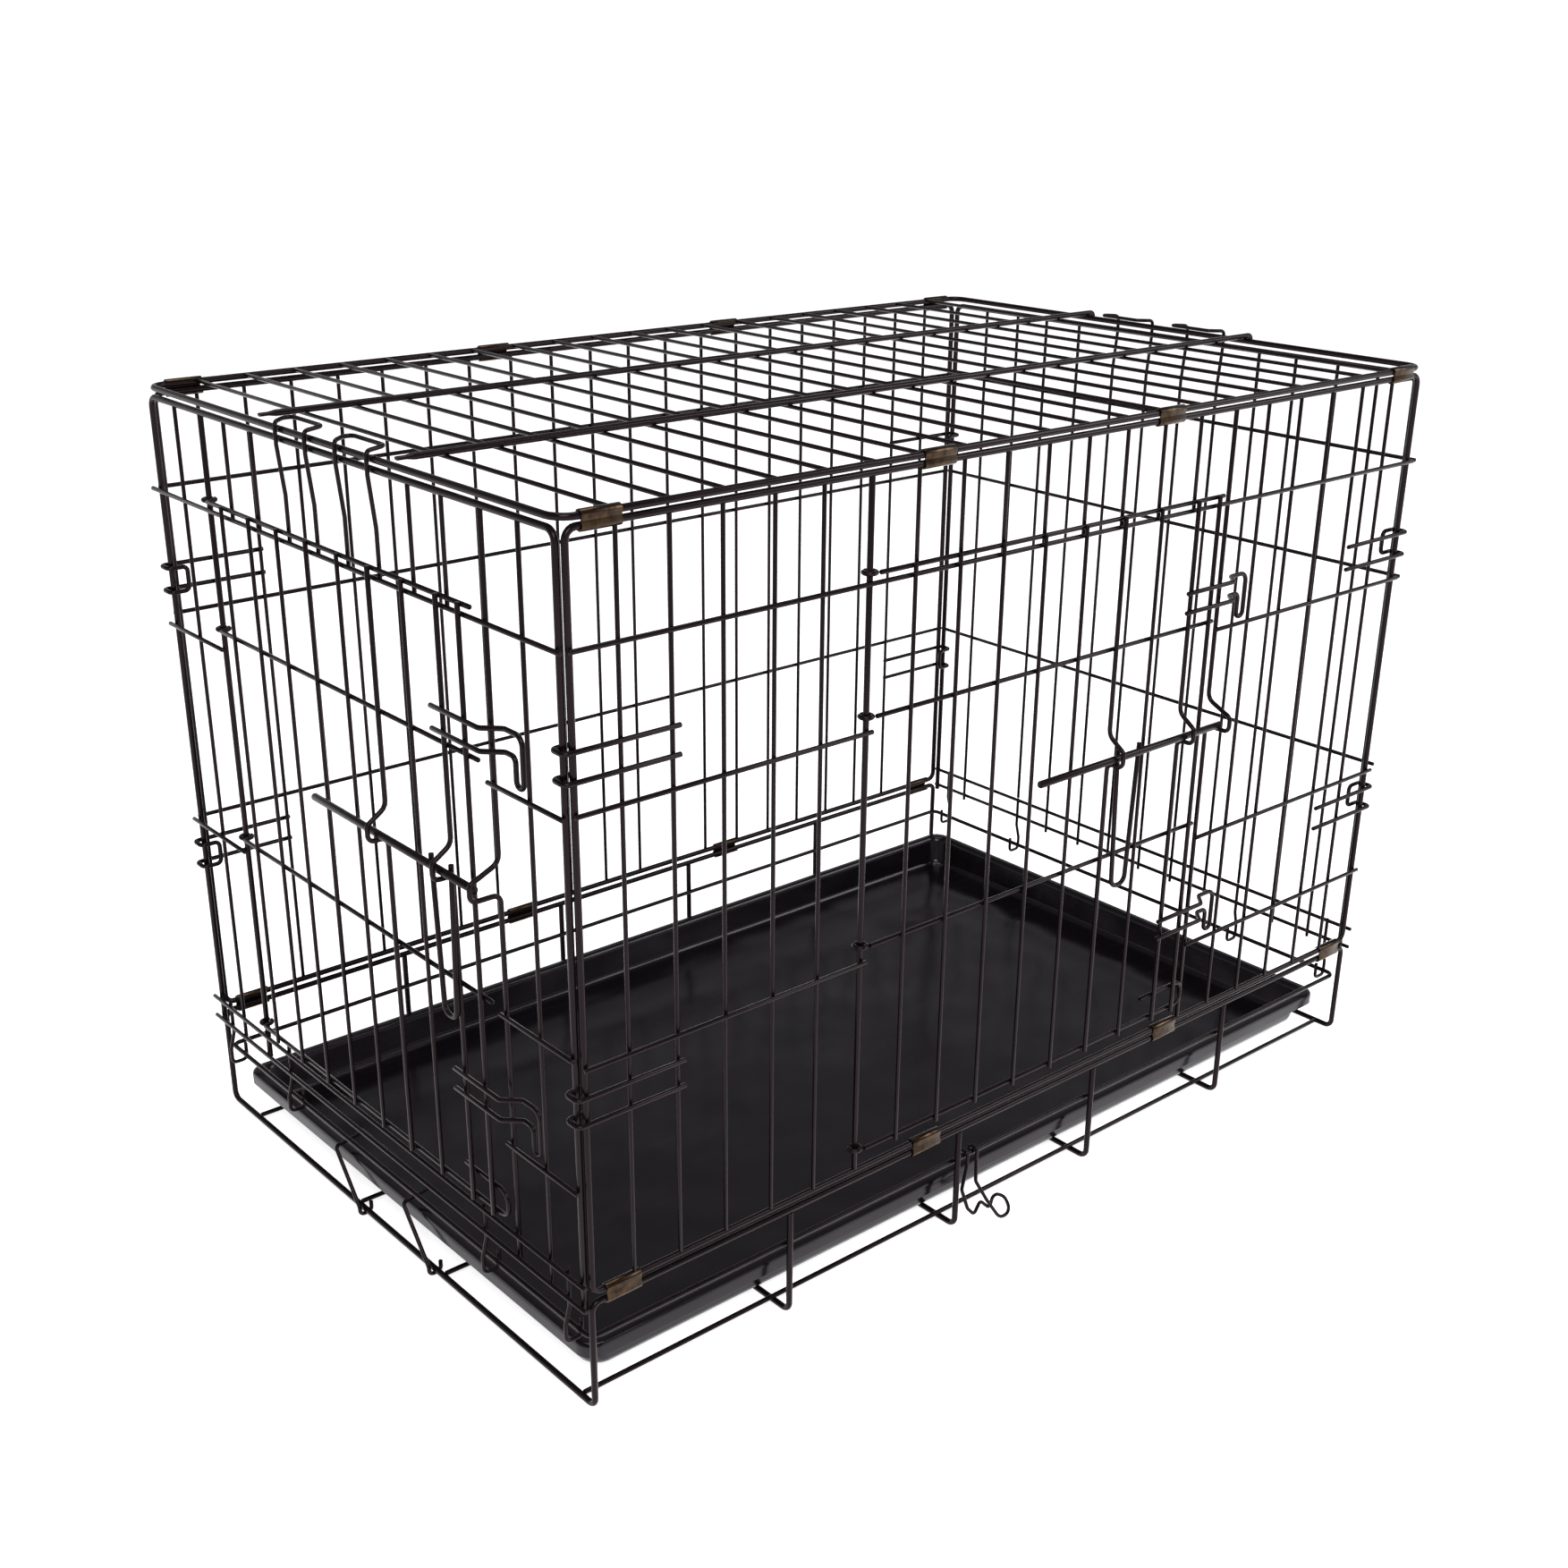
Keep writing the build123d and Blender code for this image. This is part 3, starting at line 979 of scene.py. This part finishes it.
def eye_shape(layer: float, bolt_out: float) -> list[tuple[float, float]]:
    """Gives the corners of a bolt eye.

    Args:
        layer: Layer of the wire that is bent.
        bolt_out: Layer of the bolt.

    Returns:
        Distance outwards and height over the bolt's axis of each corner.
    """
    reach = G.rod / 2 + G.eye / 2 + EYE_CLEAR
    return [(layer, EYE_TOP), (bolt_out + reach, EYE_SHOULDER), (bolt_out + reach, -reach),
            (layer, -reach)]


@dataclass
class SidePanel(Panel):
    """Long side panel with hairpin fingers that lap round the corner posts."""

    post: float = 445.9
    low_z: float = 103.0
    high_z: float = 644.5
    ups: Point = (-410, -369, -327, -284, -242, -199, 192, 234, 277, 320, 363, 406)
    hinge: float = -199.0
    jamb: float = 192.0
    middle: float = -155.6
    pitch: float = 43.4
    middle_count: int = 8
    finger_start: float = 365.0
    finger_x: float = 455.2
    finger_tip: Point = (439.0, 274.0)
    finger_zs: Point = (506.0, 262.0)
    finger_gap: float = 20.0

    def build(self, shop: Assembly) -> None:
        """Builds the panel.

        Args:
            shop: What makes, dresses and places the pieces.
        """
        bend, at, name = shop.bender, self.wall.at, self.name
        ring = [at(-self.post, 0, self.low_z), at(self.post, 0, self.low_z),
                at(self.post, 0, self.high_z), at(-self.post, 0, self.high_z)]
        shop.fit(name + "_panel_frame", "crate", [bend.bent(ring, G.frame, 8.0, closed=True)])
        low, high = self.low_z + SHORT, self.high_z - SHORT
        middles = [self.middle + self.pitch * i for i in range(self.middle_count)]
        if self.has_door:
            plain = [u for u in self.ups if u not in (self.hinge, self.jamb)]
            parts = self.uprights(bend, plain, low, high)
            parts += self.uprights(bend, middles, self.level_1 - 2, high)
            parts += self.uprights(bend, [self.hinge], low, high, G.hinge, G.out_hinge)
            shop.fit(name + "_bolt_keeper", "crate", [self.keeper(bend, self.jamb, low, high)])
            rows = [(-449, 449, self.level_1), (-449, -196, 463), (-449, -196, 283),
                    (189, 449, 465), (189, 449, 280), (189, 449, 178)]
        else:
            parts = self.uprights(bend, [*self.ups, *middles], low, high)
            rows = [(-449, 449, self.level_1), (-449, 449, 465), (-449, 449, 284)]
        shop.fit(name + "_panel_uprights", "crate", parts)
        shop.fit(name + "_panel_cross_wires", "crate", self.levels(bend, rows))
        self.fingers(shop)

    def fingers(self, shop: Assembly) -> None:
        """Bends the hairpin fingers that lap round the posts at both ends.

        Args:
            shop: What makes, dresses and places the pieces.
        """
        out = G.frame / 2 + G.eye / 2
        side = -1 if self.wall is Wall.FRONT else 1
        z = self.finger_zs[0]
        turn_x, tip_x, tip_y = self.finger_x, self.finger_tip[0], side * self.finger_tip[1]
        half = [self.wall.at(self.finger_start, out, z)[:2], self.wall.at(turn_x, out, z)[:2],
                (turn_x, tip_y), (tip_x, tip_y)]
        first = shop.bender.bent([(*spot, z) for spot in half] +
                                 [(*spot, z - self.finger_gap) for spot in reversed(half)],
                                 G.eye, 4.2)
        right = row(first, 2, self.finger_zs)
        left = [copied(finger, (0, 0, 0), (-1, 1, 1)) for finger in right]
        shop.fit(self.name + "_corner_fingers", "crate", right + left)


@dataclass
class EndPanel(Panel):
    """End panel, hooked over the top and round the base's rail."""

    post: float = 279.4
    low_z: float = 90.0
    high_z: float = 643.5
    hinge: float = 192.0
    jamb: float = -199.0
    side_ups: Point = (-241, -199, 192, 236)
    middles: Point = (-154, -113, -68, -25, 18, 61, 108, 152)
    hook_pairs: Sequence[Point] = ((61, 18), (-25, -68))
    hook_us: Point = (-262, -154, 152, 262)
    hook_foot: float = 574.0

    def build(self, shop: Assembly) -> None:
        """Builds the panel.

        Args:
            shop: What makes, dresses and places the pieces.
        """
        bend, at, name = shop.bender, self.wall.at, self.name
        arch = [at(-self.post, 0, self.low_z), at(-self.post, 0, self.high_z),
                at(self.post, 0, self.high_z), at(self.post, 0, self.low_z)]
        shop.fit(name + "_panel_frame", "crate", [bend.bent(arch, G.frame, 8.0)])
        high, hooked = self.high_z - SHORT, [u for pair in self.hook_pairs for u in pair]
        parts = []
        if self.has_door:
            parts += self.uprights(bend, [self.side_ups[0], self.side_ups[3]], 89, high)
            parts += self.uprights(bend, [self.hinge], 89, high, G.hinge, G.out_hinge)
            shop.fit(name + "_bolt_keeper", "crate", [self.keeper(bend, self.jamb, 89, high)])
        else:
            parts += self.uprights(bend, self.side_ups, 89, high)
        for u in self.middles:
            low = self.level_1 - 2 if self.has_door else 117.0 if u in self.hook_us else 89.0
            if u not in hooked:
                parts += self.uprights(bend, [u], low, high)
            elif not self.has_door:
                parts += self.uprights(bend, [u], low, self.hook_foot + 1.5)
        shop.fit(name + "_panel_uprights", "crate", parts)
        rows = [(-287, 287, self.level_1), (-287, 287, 112), (-287, 287, 93)]
        rows += ([(-283, -196, 461), (-283, -196, 290), (-283, -196, 187), (189, 285, 458),
                  (189, 285, 284)] if self.has_door else [(-287, 287, 465), (-287, 287, 284)])
        shop.fit(name + "_panel_cross_wires", "crate", self.levels(bend, rows))
        over = G.frame / 2 + G.up / 2 + 0.3
        foot = self.level_1 - 2 if self.has_door else self.hook_foot
        hooks = [bend.bent([at(a, G.out_up, foot), at(a, G.out_up, 604), at(a, over, 640),
                            at(a, over, 656.2), at(a + 12, -13, 657.2), at(b + 5, -13, 657.2),
                            at(b, over, 656.2), at(b, over, 640), at(b, G.out_up, 604),
                            at(b, G.out_up, foot)], G.up, (4, 4, 4, 5.5, 5.5, 4, 4, 4))
                 for a, b in self.hook_pairs]
        shop.fit(name + "_top_hooks", "crate", hooks)
        u = self.hook_us[0]
        first = bend.bent([at(u, G.out_up, 116), at(u, G.out_up, 84), at(u, 5.2, 68),
                           at(u, 5.2, 54), at(u, -8.6, 54), at(u, -8.6, 70)], G.up, 4.4)
        shop.fit(name + "_bottom_hooks", "crate", row(first, 1, self.hook_us))


# ---- doors -----------------------------------------------------------------------------


@dataclass
class Door:
    """A hinged door with wire hinge eyes, tongues, a slide bolt and its handle."""

    wall: Wall
    hinge: float
    turn: int
    catches: Point
    handle_back: float
    levels: Point = (577.0, 474.0, 296.0, 123.0)
    ups: Point = (36.0, 80.0, 124.0, 168.0, 213.0, 256.5, 300.0, 344.0, 370.5)
    eye_ups: Point = (256.5, 344.0)
    level_end: float = 380.0
    jamb: float = 391.0
    bolt_gap: float = 3.5
    bolt_out: float = 18.0
    bolt_z: float = 387.0
    bolt_length: float = 221.0
    handle_drop: float = 116.0
    handle_half: float = 13.0
    handle_toe: float = 8.0
    tongue_in: float = 0.25
    hinge_play: float = 0.45

    @property
    def name(self) -> str:
        """Name that the door's nodes start with."""
        return self.wall.value

    @property
    def ring_r(self) -> float:
        """Radius of a hinge eye's centre line."""
        return G.hinge / 2 + self.hinge_play + G.cross / 2

    @property
    def out_cross(self) -> float:
        """Layer of the door's level wires."""
        return G.out_hinge + self.ring_r

    def at(self, along: float, out: float, up: float) -> tuple[float, float, float]:
        """Turns a place on the door, counted from its hinge, into crate coordinates."""
        return self.wall.at(self.hinge + self.turn * along, out, up)

    def build(self, shop: Assembly) -> None:
        """Builds the door.

        Args:
            shop: What makes, dresses and places the pieces.
        """
        self.hinge_eyes(shop)
        self.grid(shop)
        self.bolt_eyes(shop)
        self.tongues(shop)
        self.bolt(shop)

    def hinge_eyes(self, shop: Assembly) -> None:
        """Bends the eyes that turn round the hinge upright.

        Args:
            shop: What makes, dresses and places the pieces.
        """
        z = self.levels[0]
        inwards = Vector(self.at(0, -1, z)) - Vector(self.at(0, 0, z))
        first = shop.bender.ring(self.at(0, G.out_hinge, z), inwards, self.ring_r, G.cross)
        shop.fit(self.name + "_door_hinge_eyes", self.name + "_door_eyes",
                 row(first, 2, self.levels))

    def grid(self, shop: Assembly) -> None:
        """Cuts the level wires and plain uprights.

        Args:
            shop: What makes, dresses and places the pieces.
        """
        bend, start, out = shop.bender, self.ring_r + 1.2, self.out_cross
        z = self.levels[0]
        first = bend.straight(self.at(start, out, z), self.at(self.level_end, out, z), G.cross)
        wires = row(first, 2, self.levels[:3])
        foot = self.levels[3]
        wires.append(bend.bent([self.at(start, out, foot), self.at(386, out, foot),
                                self.at(386, out, foot + 21), self.at(330, out, foot + 21)],
                               G.cross, 9.0))
        shop.fit(self.name + "_door_cross_wires", self.name + "_door", wires)
        wires = []
        for along in self.ups:
            if along not in self.eye_ups:
                thick = G.eye if along == self.ups[-1] else G.up
                layer = out + G.cross / 2 + thick / 2 - WELD_SINK
                wires.append(bend.straight(self.at(along, layer, foot - 3),
                                           self.at(along, layer, z + 2), thick))
        shop.fit(self.name + "_door_uprights", self.name + "_door", wires)

    def bolt_eyes(self, shop: Assembly) -> None:
        """Bends the uprights with eyes for the bolt.

        Args:
            shop: What makes, dresses and places the pieces.
        """
        layer = self.out_cross + G.cross / 2 + G.eye / 2 + 0.03
        made = []
        for along in self.eye_ups:
            eye = [self.at(along, out, self.bolt_z + up)
                   for out, up in eye_shape(layer, self.bolt_out)]
            made.append(shop.bender.bent([self.at(along, layer, self.levels[0] + 2), *eye,
                                          self.at(along, layer, self.levels[3] - 3)],
                                         G.eye, EYE_BENDS))
        shop.fit(self.name + "_door_bolt_eyes", self.name + "_door", made)

    def tongues(self, shop: Assembly) -> None:
        """Bends the tongues that drop behind the jamb's short wires.

        Args:
            shop: What makes, dresses and places the pieces.
        """
        over, made = self.out_cross + G.cross / 2 + G.eye * 1.5 + 0.06, []
        for catch in self.catches:
            tip = catch + G.cross / 2 + G.eye / 2 + 0.7
            high, low, deep = tip + 36.5, tip + 20.5, self.tongue_in
            made.append(shop.bender.bent(
                [self.at(335, over, high), self.at(394, over, high), self.at(405.5, deep, high),
                 self.at(426, deep, high), self.at(426, deep, tip), self.at(417.5, deep, tip),
                 self.at(417.5, deep, low), self.at(405.5, deep, low), self.at(394, over, low),
                 self.at(335, over, low)], G.eye, (4.5, 4.5, 7, 4.2, 4.2, 4.5, 4.5, 4.5)))
        shop.fit(self.name + "_door_tongues", self.name + "_door", made)

    def bolt(self, shop: Assembly) -> None:
        """Cuts the bolt and bends its hanging handle.

        Args:
            shop: What makes, dresses and places the pieces.
        """
        tip, z = self.jamb - self.bolt_gap, self.bolt_z
        rod = shop.bender.straight(self.at(tip - self.bolt_length, self.bolt_out, z),
                                   self.at(tip, self.bolt_out, z), G.rod, 0.9)
        shop.fit(self.name + "_bolt_rod", self.name + "_bolt", [rod])
        middle, half, toe = tip - self.handle_back, self.handle_half, self.handle_toe
        out = self.bolt_out - G.rod / 2 - G.handle / 2 - 0.05
        foot = z - self.handle_drop
        legs = [self.at(middle - half, out, z + 5), self.at(middle - toe, out, foot),
                self.at(middle + toe, out, foot), self.at(middle + half, out, z + 5)]
        shop.fit(self.name + "_bolt_handle", self.name + "_handle",
                 [shop.bender.bent(legs, G.handle, 7.0)])


# ---- tray and small parts --------------------------------------------------------------


@dataclass
class Tray:
    """Moulded pan with drafted walls, a rolled flange and a short lip."""

    half_x: float = 441.0
    half_y: float = 267.0
    corner: float = 13.0
    thickness: float = 2.0
    profile: Sequence[Point] = (
        (40.0, 11.3), (20.5, 11.3), (17.0, 12.0), (15.0, 13.6), (13.9, 16.5), (10.4, 37.5),
        (9.4, 40.6), (8.0, 41.7), (6.4, 42.0), (2.6, 42.0), (1.0, 41.5), (0.2, 40.2),
        (0.0, 38.4), (0.0, 31.0))

    def build(self, shop: Assembly) -> None:
        """Moulds the tray.

        Args:
            shop: What makes, dresses and places the pieces.
        """
        inset, z = self.profile[0]
        quiet()
        bpy.ops.mesh.primitive_plane_add(size=2.0, location=(0, 0, z * MM))
        tray = bpy.context.active_object
        edit()
        width, depth = self.half_x - inset, self.half_y - inset
        bpy.ops.transform.resize(value=(width * MM, depth * MM, 1.0))
        bpy.ops.mesh.select_all(action="SELECT")
        bpy.ops.mesh.bevel(offset=self.corner * MM, segments=9, affect="VERTICES")
        bpy.ops.mesh.select_mode(type="FACE")
        bpy.ops.mesh.select_all(action="SELECT")
        bpy.ops.mesh.select_mode(type="EDGE")
        bpy.ops.mesh.region_to_loop()
        for inset, up in self.profile[1:]:
            new_width, new_depth = self.half_x - inset, self.half_y - inset
            bpy.ops.mesh.extrude_edges_move(
                TRANSFORM_OT_translate={"value": (0, 0, (up - z) * MM)})
            bpy.ops.transform.resize(value=(new_width / width, new_depth / depth, 1.0),
                                     center_override=(0, 0, up * MM))
            width, depth, z = new_width, new_depth, up
        leave()
        settle(tray)
        self.thicken(tray)
        shop.fit("tray", "tray", [tray], "tray_plastic")

    def thicken(self, tray: Piece) -> None:
        """Gives the skin its wall.

        Args:
            tray: The skin.
        """
        wall = tray.modifiers.new("wall", "SOLIDIFY")
        wall.thickness = self.thickness * MM
        wall.offset = -1.0 if self._faces_up(tray) else 1.0
        wall.use_even_offset = True
        quiet()
        tray.select_set(True)
        bpy.context.view_layer.objects.active = tray
        bpy.ops.object.modifier_apply(modifier="wall")

    @staticmethod
    def _faces_up(tray: Piece) -> bool:
        """Tells whether the pan's floor points up."""
        floor = max(tray.data.polygons, key=lambda face: face.area)
        return floor.normal.z > 0


@dataclass
class TrayStop:
    """Wire bail that bars the tray at the end door."""

    ys: Point = (-64.0, 46.0)
    bar_z: float = 52.4
    lean: float = 40.0

    def build(self, shop: Assembly) -> None:
        """Bends the stop.

        Args:
            shop: What makes, dresses and places the pieces.
        """
        first_y, top_y = self.ys[0], self.ys[0] + self.lean
        leg = shop.bender.bent([(-441.3, first_y, 11.0), (-441.3, first_y, 1.9),
                                (-452.0, first_y, 1.9), (-452.0, first_y, 9.0),
                                (-449.0, top_y, 48.0),
                                (-424.0, top_y, self.bar_z)], G.stop, 4.0)
        bar = shop.bender.straight((-422.3, top_y - 2, self.bar_z),
                                   (-422.3, self.ys[1] + self.lean + 2, self.bar_z), G.stop)
        shop.fit("tray_stop", "tray_stop", [*row(leg, 1, self.ys), bar])


@dataclass
class FoldHook:
    """Wire hook that hangs from the front rail and holds the folded crate shut."""

    legs: Point = (-71.0, -60.0)
    rail_y: float = -278.97
    rail_z: float = 63.0
    slope: float = 0.357

    def hang(self, x: float, z: float, layer: float) -> tuple[float, float, float]:
        """Gives a point on the slope that the hook hangs in."""
        return (x, self.rail_y - (self.rail_z - z) * self.slope - layer, z)

    def build(self, shop: Assembly) -> None:
        """Bends the hook.

        Args:
            shop: What makes, dresses and places the pieces.
        """
        a, b = self.legs
        y, z, hang = self.rail_y, self.rail_z, self.hang
        path = [(a, y + 4.2, z - 4), (a, y + 4.2, z + 4.2), (a, y - 4.2, z + 4.2),
                (a, y - 4.2, z - 7), hang(-81, 38, 0), hang(-79, 22, 0), hang(-73.5, 15, 0),
                hang(-63, 22, -1.0), hang(-54, 12.5, -1.7), hang(-46, 22.5, -1.7),
                hang(-36, 16.5, 0), hang(-34.5, 5.0, 1.7), hang(-47.5, 2.6, 1.7),
                hang(-58, 22, 2.0), hang(-65, 40, 1.0), (b, y - 4.2, z - 7),
                (b, y - 4.2, z + 4.2), (b, y + 4.2, z + 4.2), (b, y + 4.2, z - 4)]
        bends = (3.2, 3.2, 3.2, 4, 3.2, 3.2, 3.2, 3.2, 6, 9, 6.3, 8.5, 9, 4, 3.2, 3.2, 3.2)
        shop.fit("fold_hook", "fold_hook", [shop.bender.bent(path, G.hook, bends)])


@dataclass
class ClipRow:
    """Crimped sheet-steel bands round two stacked wires."""

    node: str
    wall: Wall
    low: float
    high: float
    xs: Point
    length: float = 30.0
    sheet: float = 1.2
    fit: float = 0.25

    def build(self, shop: Assembly) -> None:
        """Folds one band and copies it along the row.

        Args:
            shop: What makes, dresses and places the pieces.
        """
        band = self.fold(self.xs[0])
        shop.fit(self.node, "crate", row(band, 0, self.xs), "clip_steel")

    def fold(self, x: float) -> Piece:
        """Folds a band at x.

        Args:
            x: Middle of the band, in millimetres.

        Returns:
            The band.
        """
        radius = (G.frame / 2 + self.fit + self.sheet) * MM
        y = self.wall.at(0, 0, 0)[1] * MM
        side = -1 if self.wall is Wall.FRONT else 1
        quiet()
        bpy.ops.mesh.primitive_circle_add(
            vertices=20, radius=radius, location=((x - self.length / 2) * MM, y, self.low * MM),
            rotation=(0, math.pi / 2, 0))
        band = bpy.context.active_object
        bpy.ops.object.transform_apply(location=True, rotation=True, scale=True)
        split = self.low * MM + 1e-6
        pick_verts(band, lambda place: place.z > split)
        bpy.ops.transform.translate(value=(0, 0, (self.high - self.low) * MM))
        bpy.ops.mesh.select_all(action="SELECT")
        bpy.ops.mesh.extrude_region_move(
            TRANSFORM_OT_translate={"value": (self.length * MM, 0, 0)})
        middle = (self.low + self.high) / 2 * MM
        bpy.ops.mesh.select_all(action="SELECT")
        bpy.ops.mesh.bisect(plane_co=(0, 0, middle), plane_no=(0, 0, 1))
        pick_verts(band, lambda place: abs(place.z - middle) < 2e-4 and side * (place.y - y) > 0)
        bpy.ops.transform.translate(value=(0, -side * 1.0 * MM, 0))
        pick_faces(band, lambda place: side * (place.y - y) < -radius * 0.72)
        bpy.ops.mesh.delete(type="FACE")
        settle(band)
        for kind, settings in (("SOLIDIFY", {"thickness": self.sheet * MM, "offset": -1.0}),
                               ("BEVEL", {"width": 0.25 * MM, "segments": 2})):
            step = band.modifiers.new(kind.lower(), kind)
            for key, value in settings.items():
                setattr(step, key, value)
            bpy.ops.object.modifier_apply(modifier=step.name)
        return settle(band)


# ---- studio ----------------------------------------------------------------------------


@dataclass
class Studio:
    """Pale floor, soft light and the camera."""

    eye: Point = (-1.0753, -1.2137, 0.9167)
    right: Point = (0.75667, -0.65372, 0.01012)
    up: Point = (0.25104, 0.30480, 0.91874)
    lens: float = 44.33
    shift: Point = (-0.0061, 0.0452)

    def build(self, finishes: Finishes) -> None:
        """Sets up the studio.

        Args:
            finishes: The materials.
        """
        quiet()
        bpy.ops.mesh.primitive_plane_add(size=160.0, location=(0, 0, -0.0005))
        floor = bpy.context.active_object
        floor.name = "studio_floor"
        finishes.dress(floor, finishes.floor)
        self.lamp("key", (-1.9, -2.6, 3.0), 2.0, 95.0)
        self.lamp("fill", (2.9, -2.2, 2.6), 2.0, 60.0)
        self.lamp("top", (0.2, 0.3, 3.6), 1.8, 40.0)
        self.sky()
        self.camera()

    @staticmethod
    def lamp(name: str, place: Point, size: float, power: float) -> None:
        """Hangs one soft square light that looks at the crate.

        Args:
            name: Its name.
            place: Where it hangs.
            size: Its side.
            power: Its power in watts.
        """
        bpy.ops.object.light_add(type="AREA", location=place)
        lamp = bpy.context.active_object
        lamp.name = name + "_light"
        lamp.data.shape = "SQUARE"
        lamp.data.size = size
        lamp.data.energy = power
        lamp.rotation_euler = (LAMP_TARGET - Vector(place)).to_track_quat("-Z", "Y").to_euler()

    @staticmethod
    def sky() -> None:
        """Lights the room evenly."""
        world = bpy.data.worlds.new("studio")
        world.use_nodes = True
        tree = world.node_tree
        where = tree.nodes.new("ShaderNodeTexCoord")
        split = tree.nodes.new("ShaderNodeSeparateXYZ")
        ramp = tree.nodes.new("ShaderNodeValToRGB")
        tree.links.new(where.outputs["Generated"], split.inputs[0])
        tree.links.new(split.outputs["Z"], ramp.inputs[0])
        tree.links.new(ramp.outputs[0], tree.nodes["Background"].inputs[0])
        NodeBench.set_stops(ramp, ((0.10, (1.0, 1.0, 1.0)), (0.26, (0.34, 0.33, 0.34)),
                                   (0.75, (0.20, 0.20, 0.21))))
        bpy.context.scene.world = world
        bpy.context.scene.view_settings.view_transform = "Standard"

    def camera(self) -> None:
        """Stands the camera at the crate's near corner."""
        bpy.ops.object.camera_add(location=self.eye)
        camera = bpy.context.active_object
        back = Vector(self.right).cross(Vector(self.up))
        camera.rotation_euler = Matrix((self.right, self.up, back)).transposed().to_euler()
        camera.data.sensor_width = 36.0
        camera.data.lens = self.lens
        camera.data.shift_x, camera.data.shift_y = self.shift
        camera.data.clip_start = 0.05
        bpy.context.scene.camera = camera


def main() -> None:
    """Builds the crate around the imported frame."""
    logging.basicConfig(level=logging.INFO, format="%(name)s %(message)s")
    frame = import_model()
    finishes = Finishes()
    shop = Assembly(finishes, WireBender())
    Base().build(shop)
    TopPanel().build(shop)
    SidePanel(Wall.FRONT, True).build(shop)
    SidePanel(Wall.BACK, False).build(shop)
    EndPanel(Wall.LEFT, True).build(shop)
    EndPanel(Wall.RIGHT, False).build(shop)
    Door(Wall.FRONT, -199.0, 1, (465.0, 178.0), 111.5).build(shop)
    Door(Wall.LEFT, 192.0, -1, (461.0, 187.0), 50.5).build(shop)
    Tray().build(shop)
    TrayStop().build(shop)
    FoldHook().build(shop)
    for node, wall, low, high, xs in (
            ("top_front_clips", Wall.FRONT, 644.5, 650.6, (-420.5, -137.5, 110.0, 419.0)),
            ("top_back_clips", Wall.BACK, 644.5, 650.6, (-420.5, -130.0, 132.0, 420.5)),
            ("bottom_front_clips", Wall.FRONT, 95.0, 103.0, (-420.5, -123.0, 172.0, 420.5)),
            ("bottom_back_clips", Wall.BACK, 95.0, 103.0, (-420.5, -130.0, 132.0, 420.5))):
        ClipRow(node, wall, low, high, xs).build(shop)
    Studio().build(finishes)


if __name__ == "__main__":
    main()
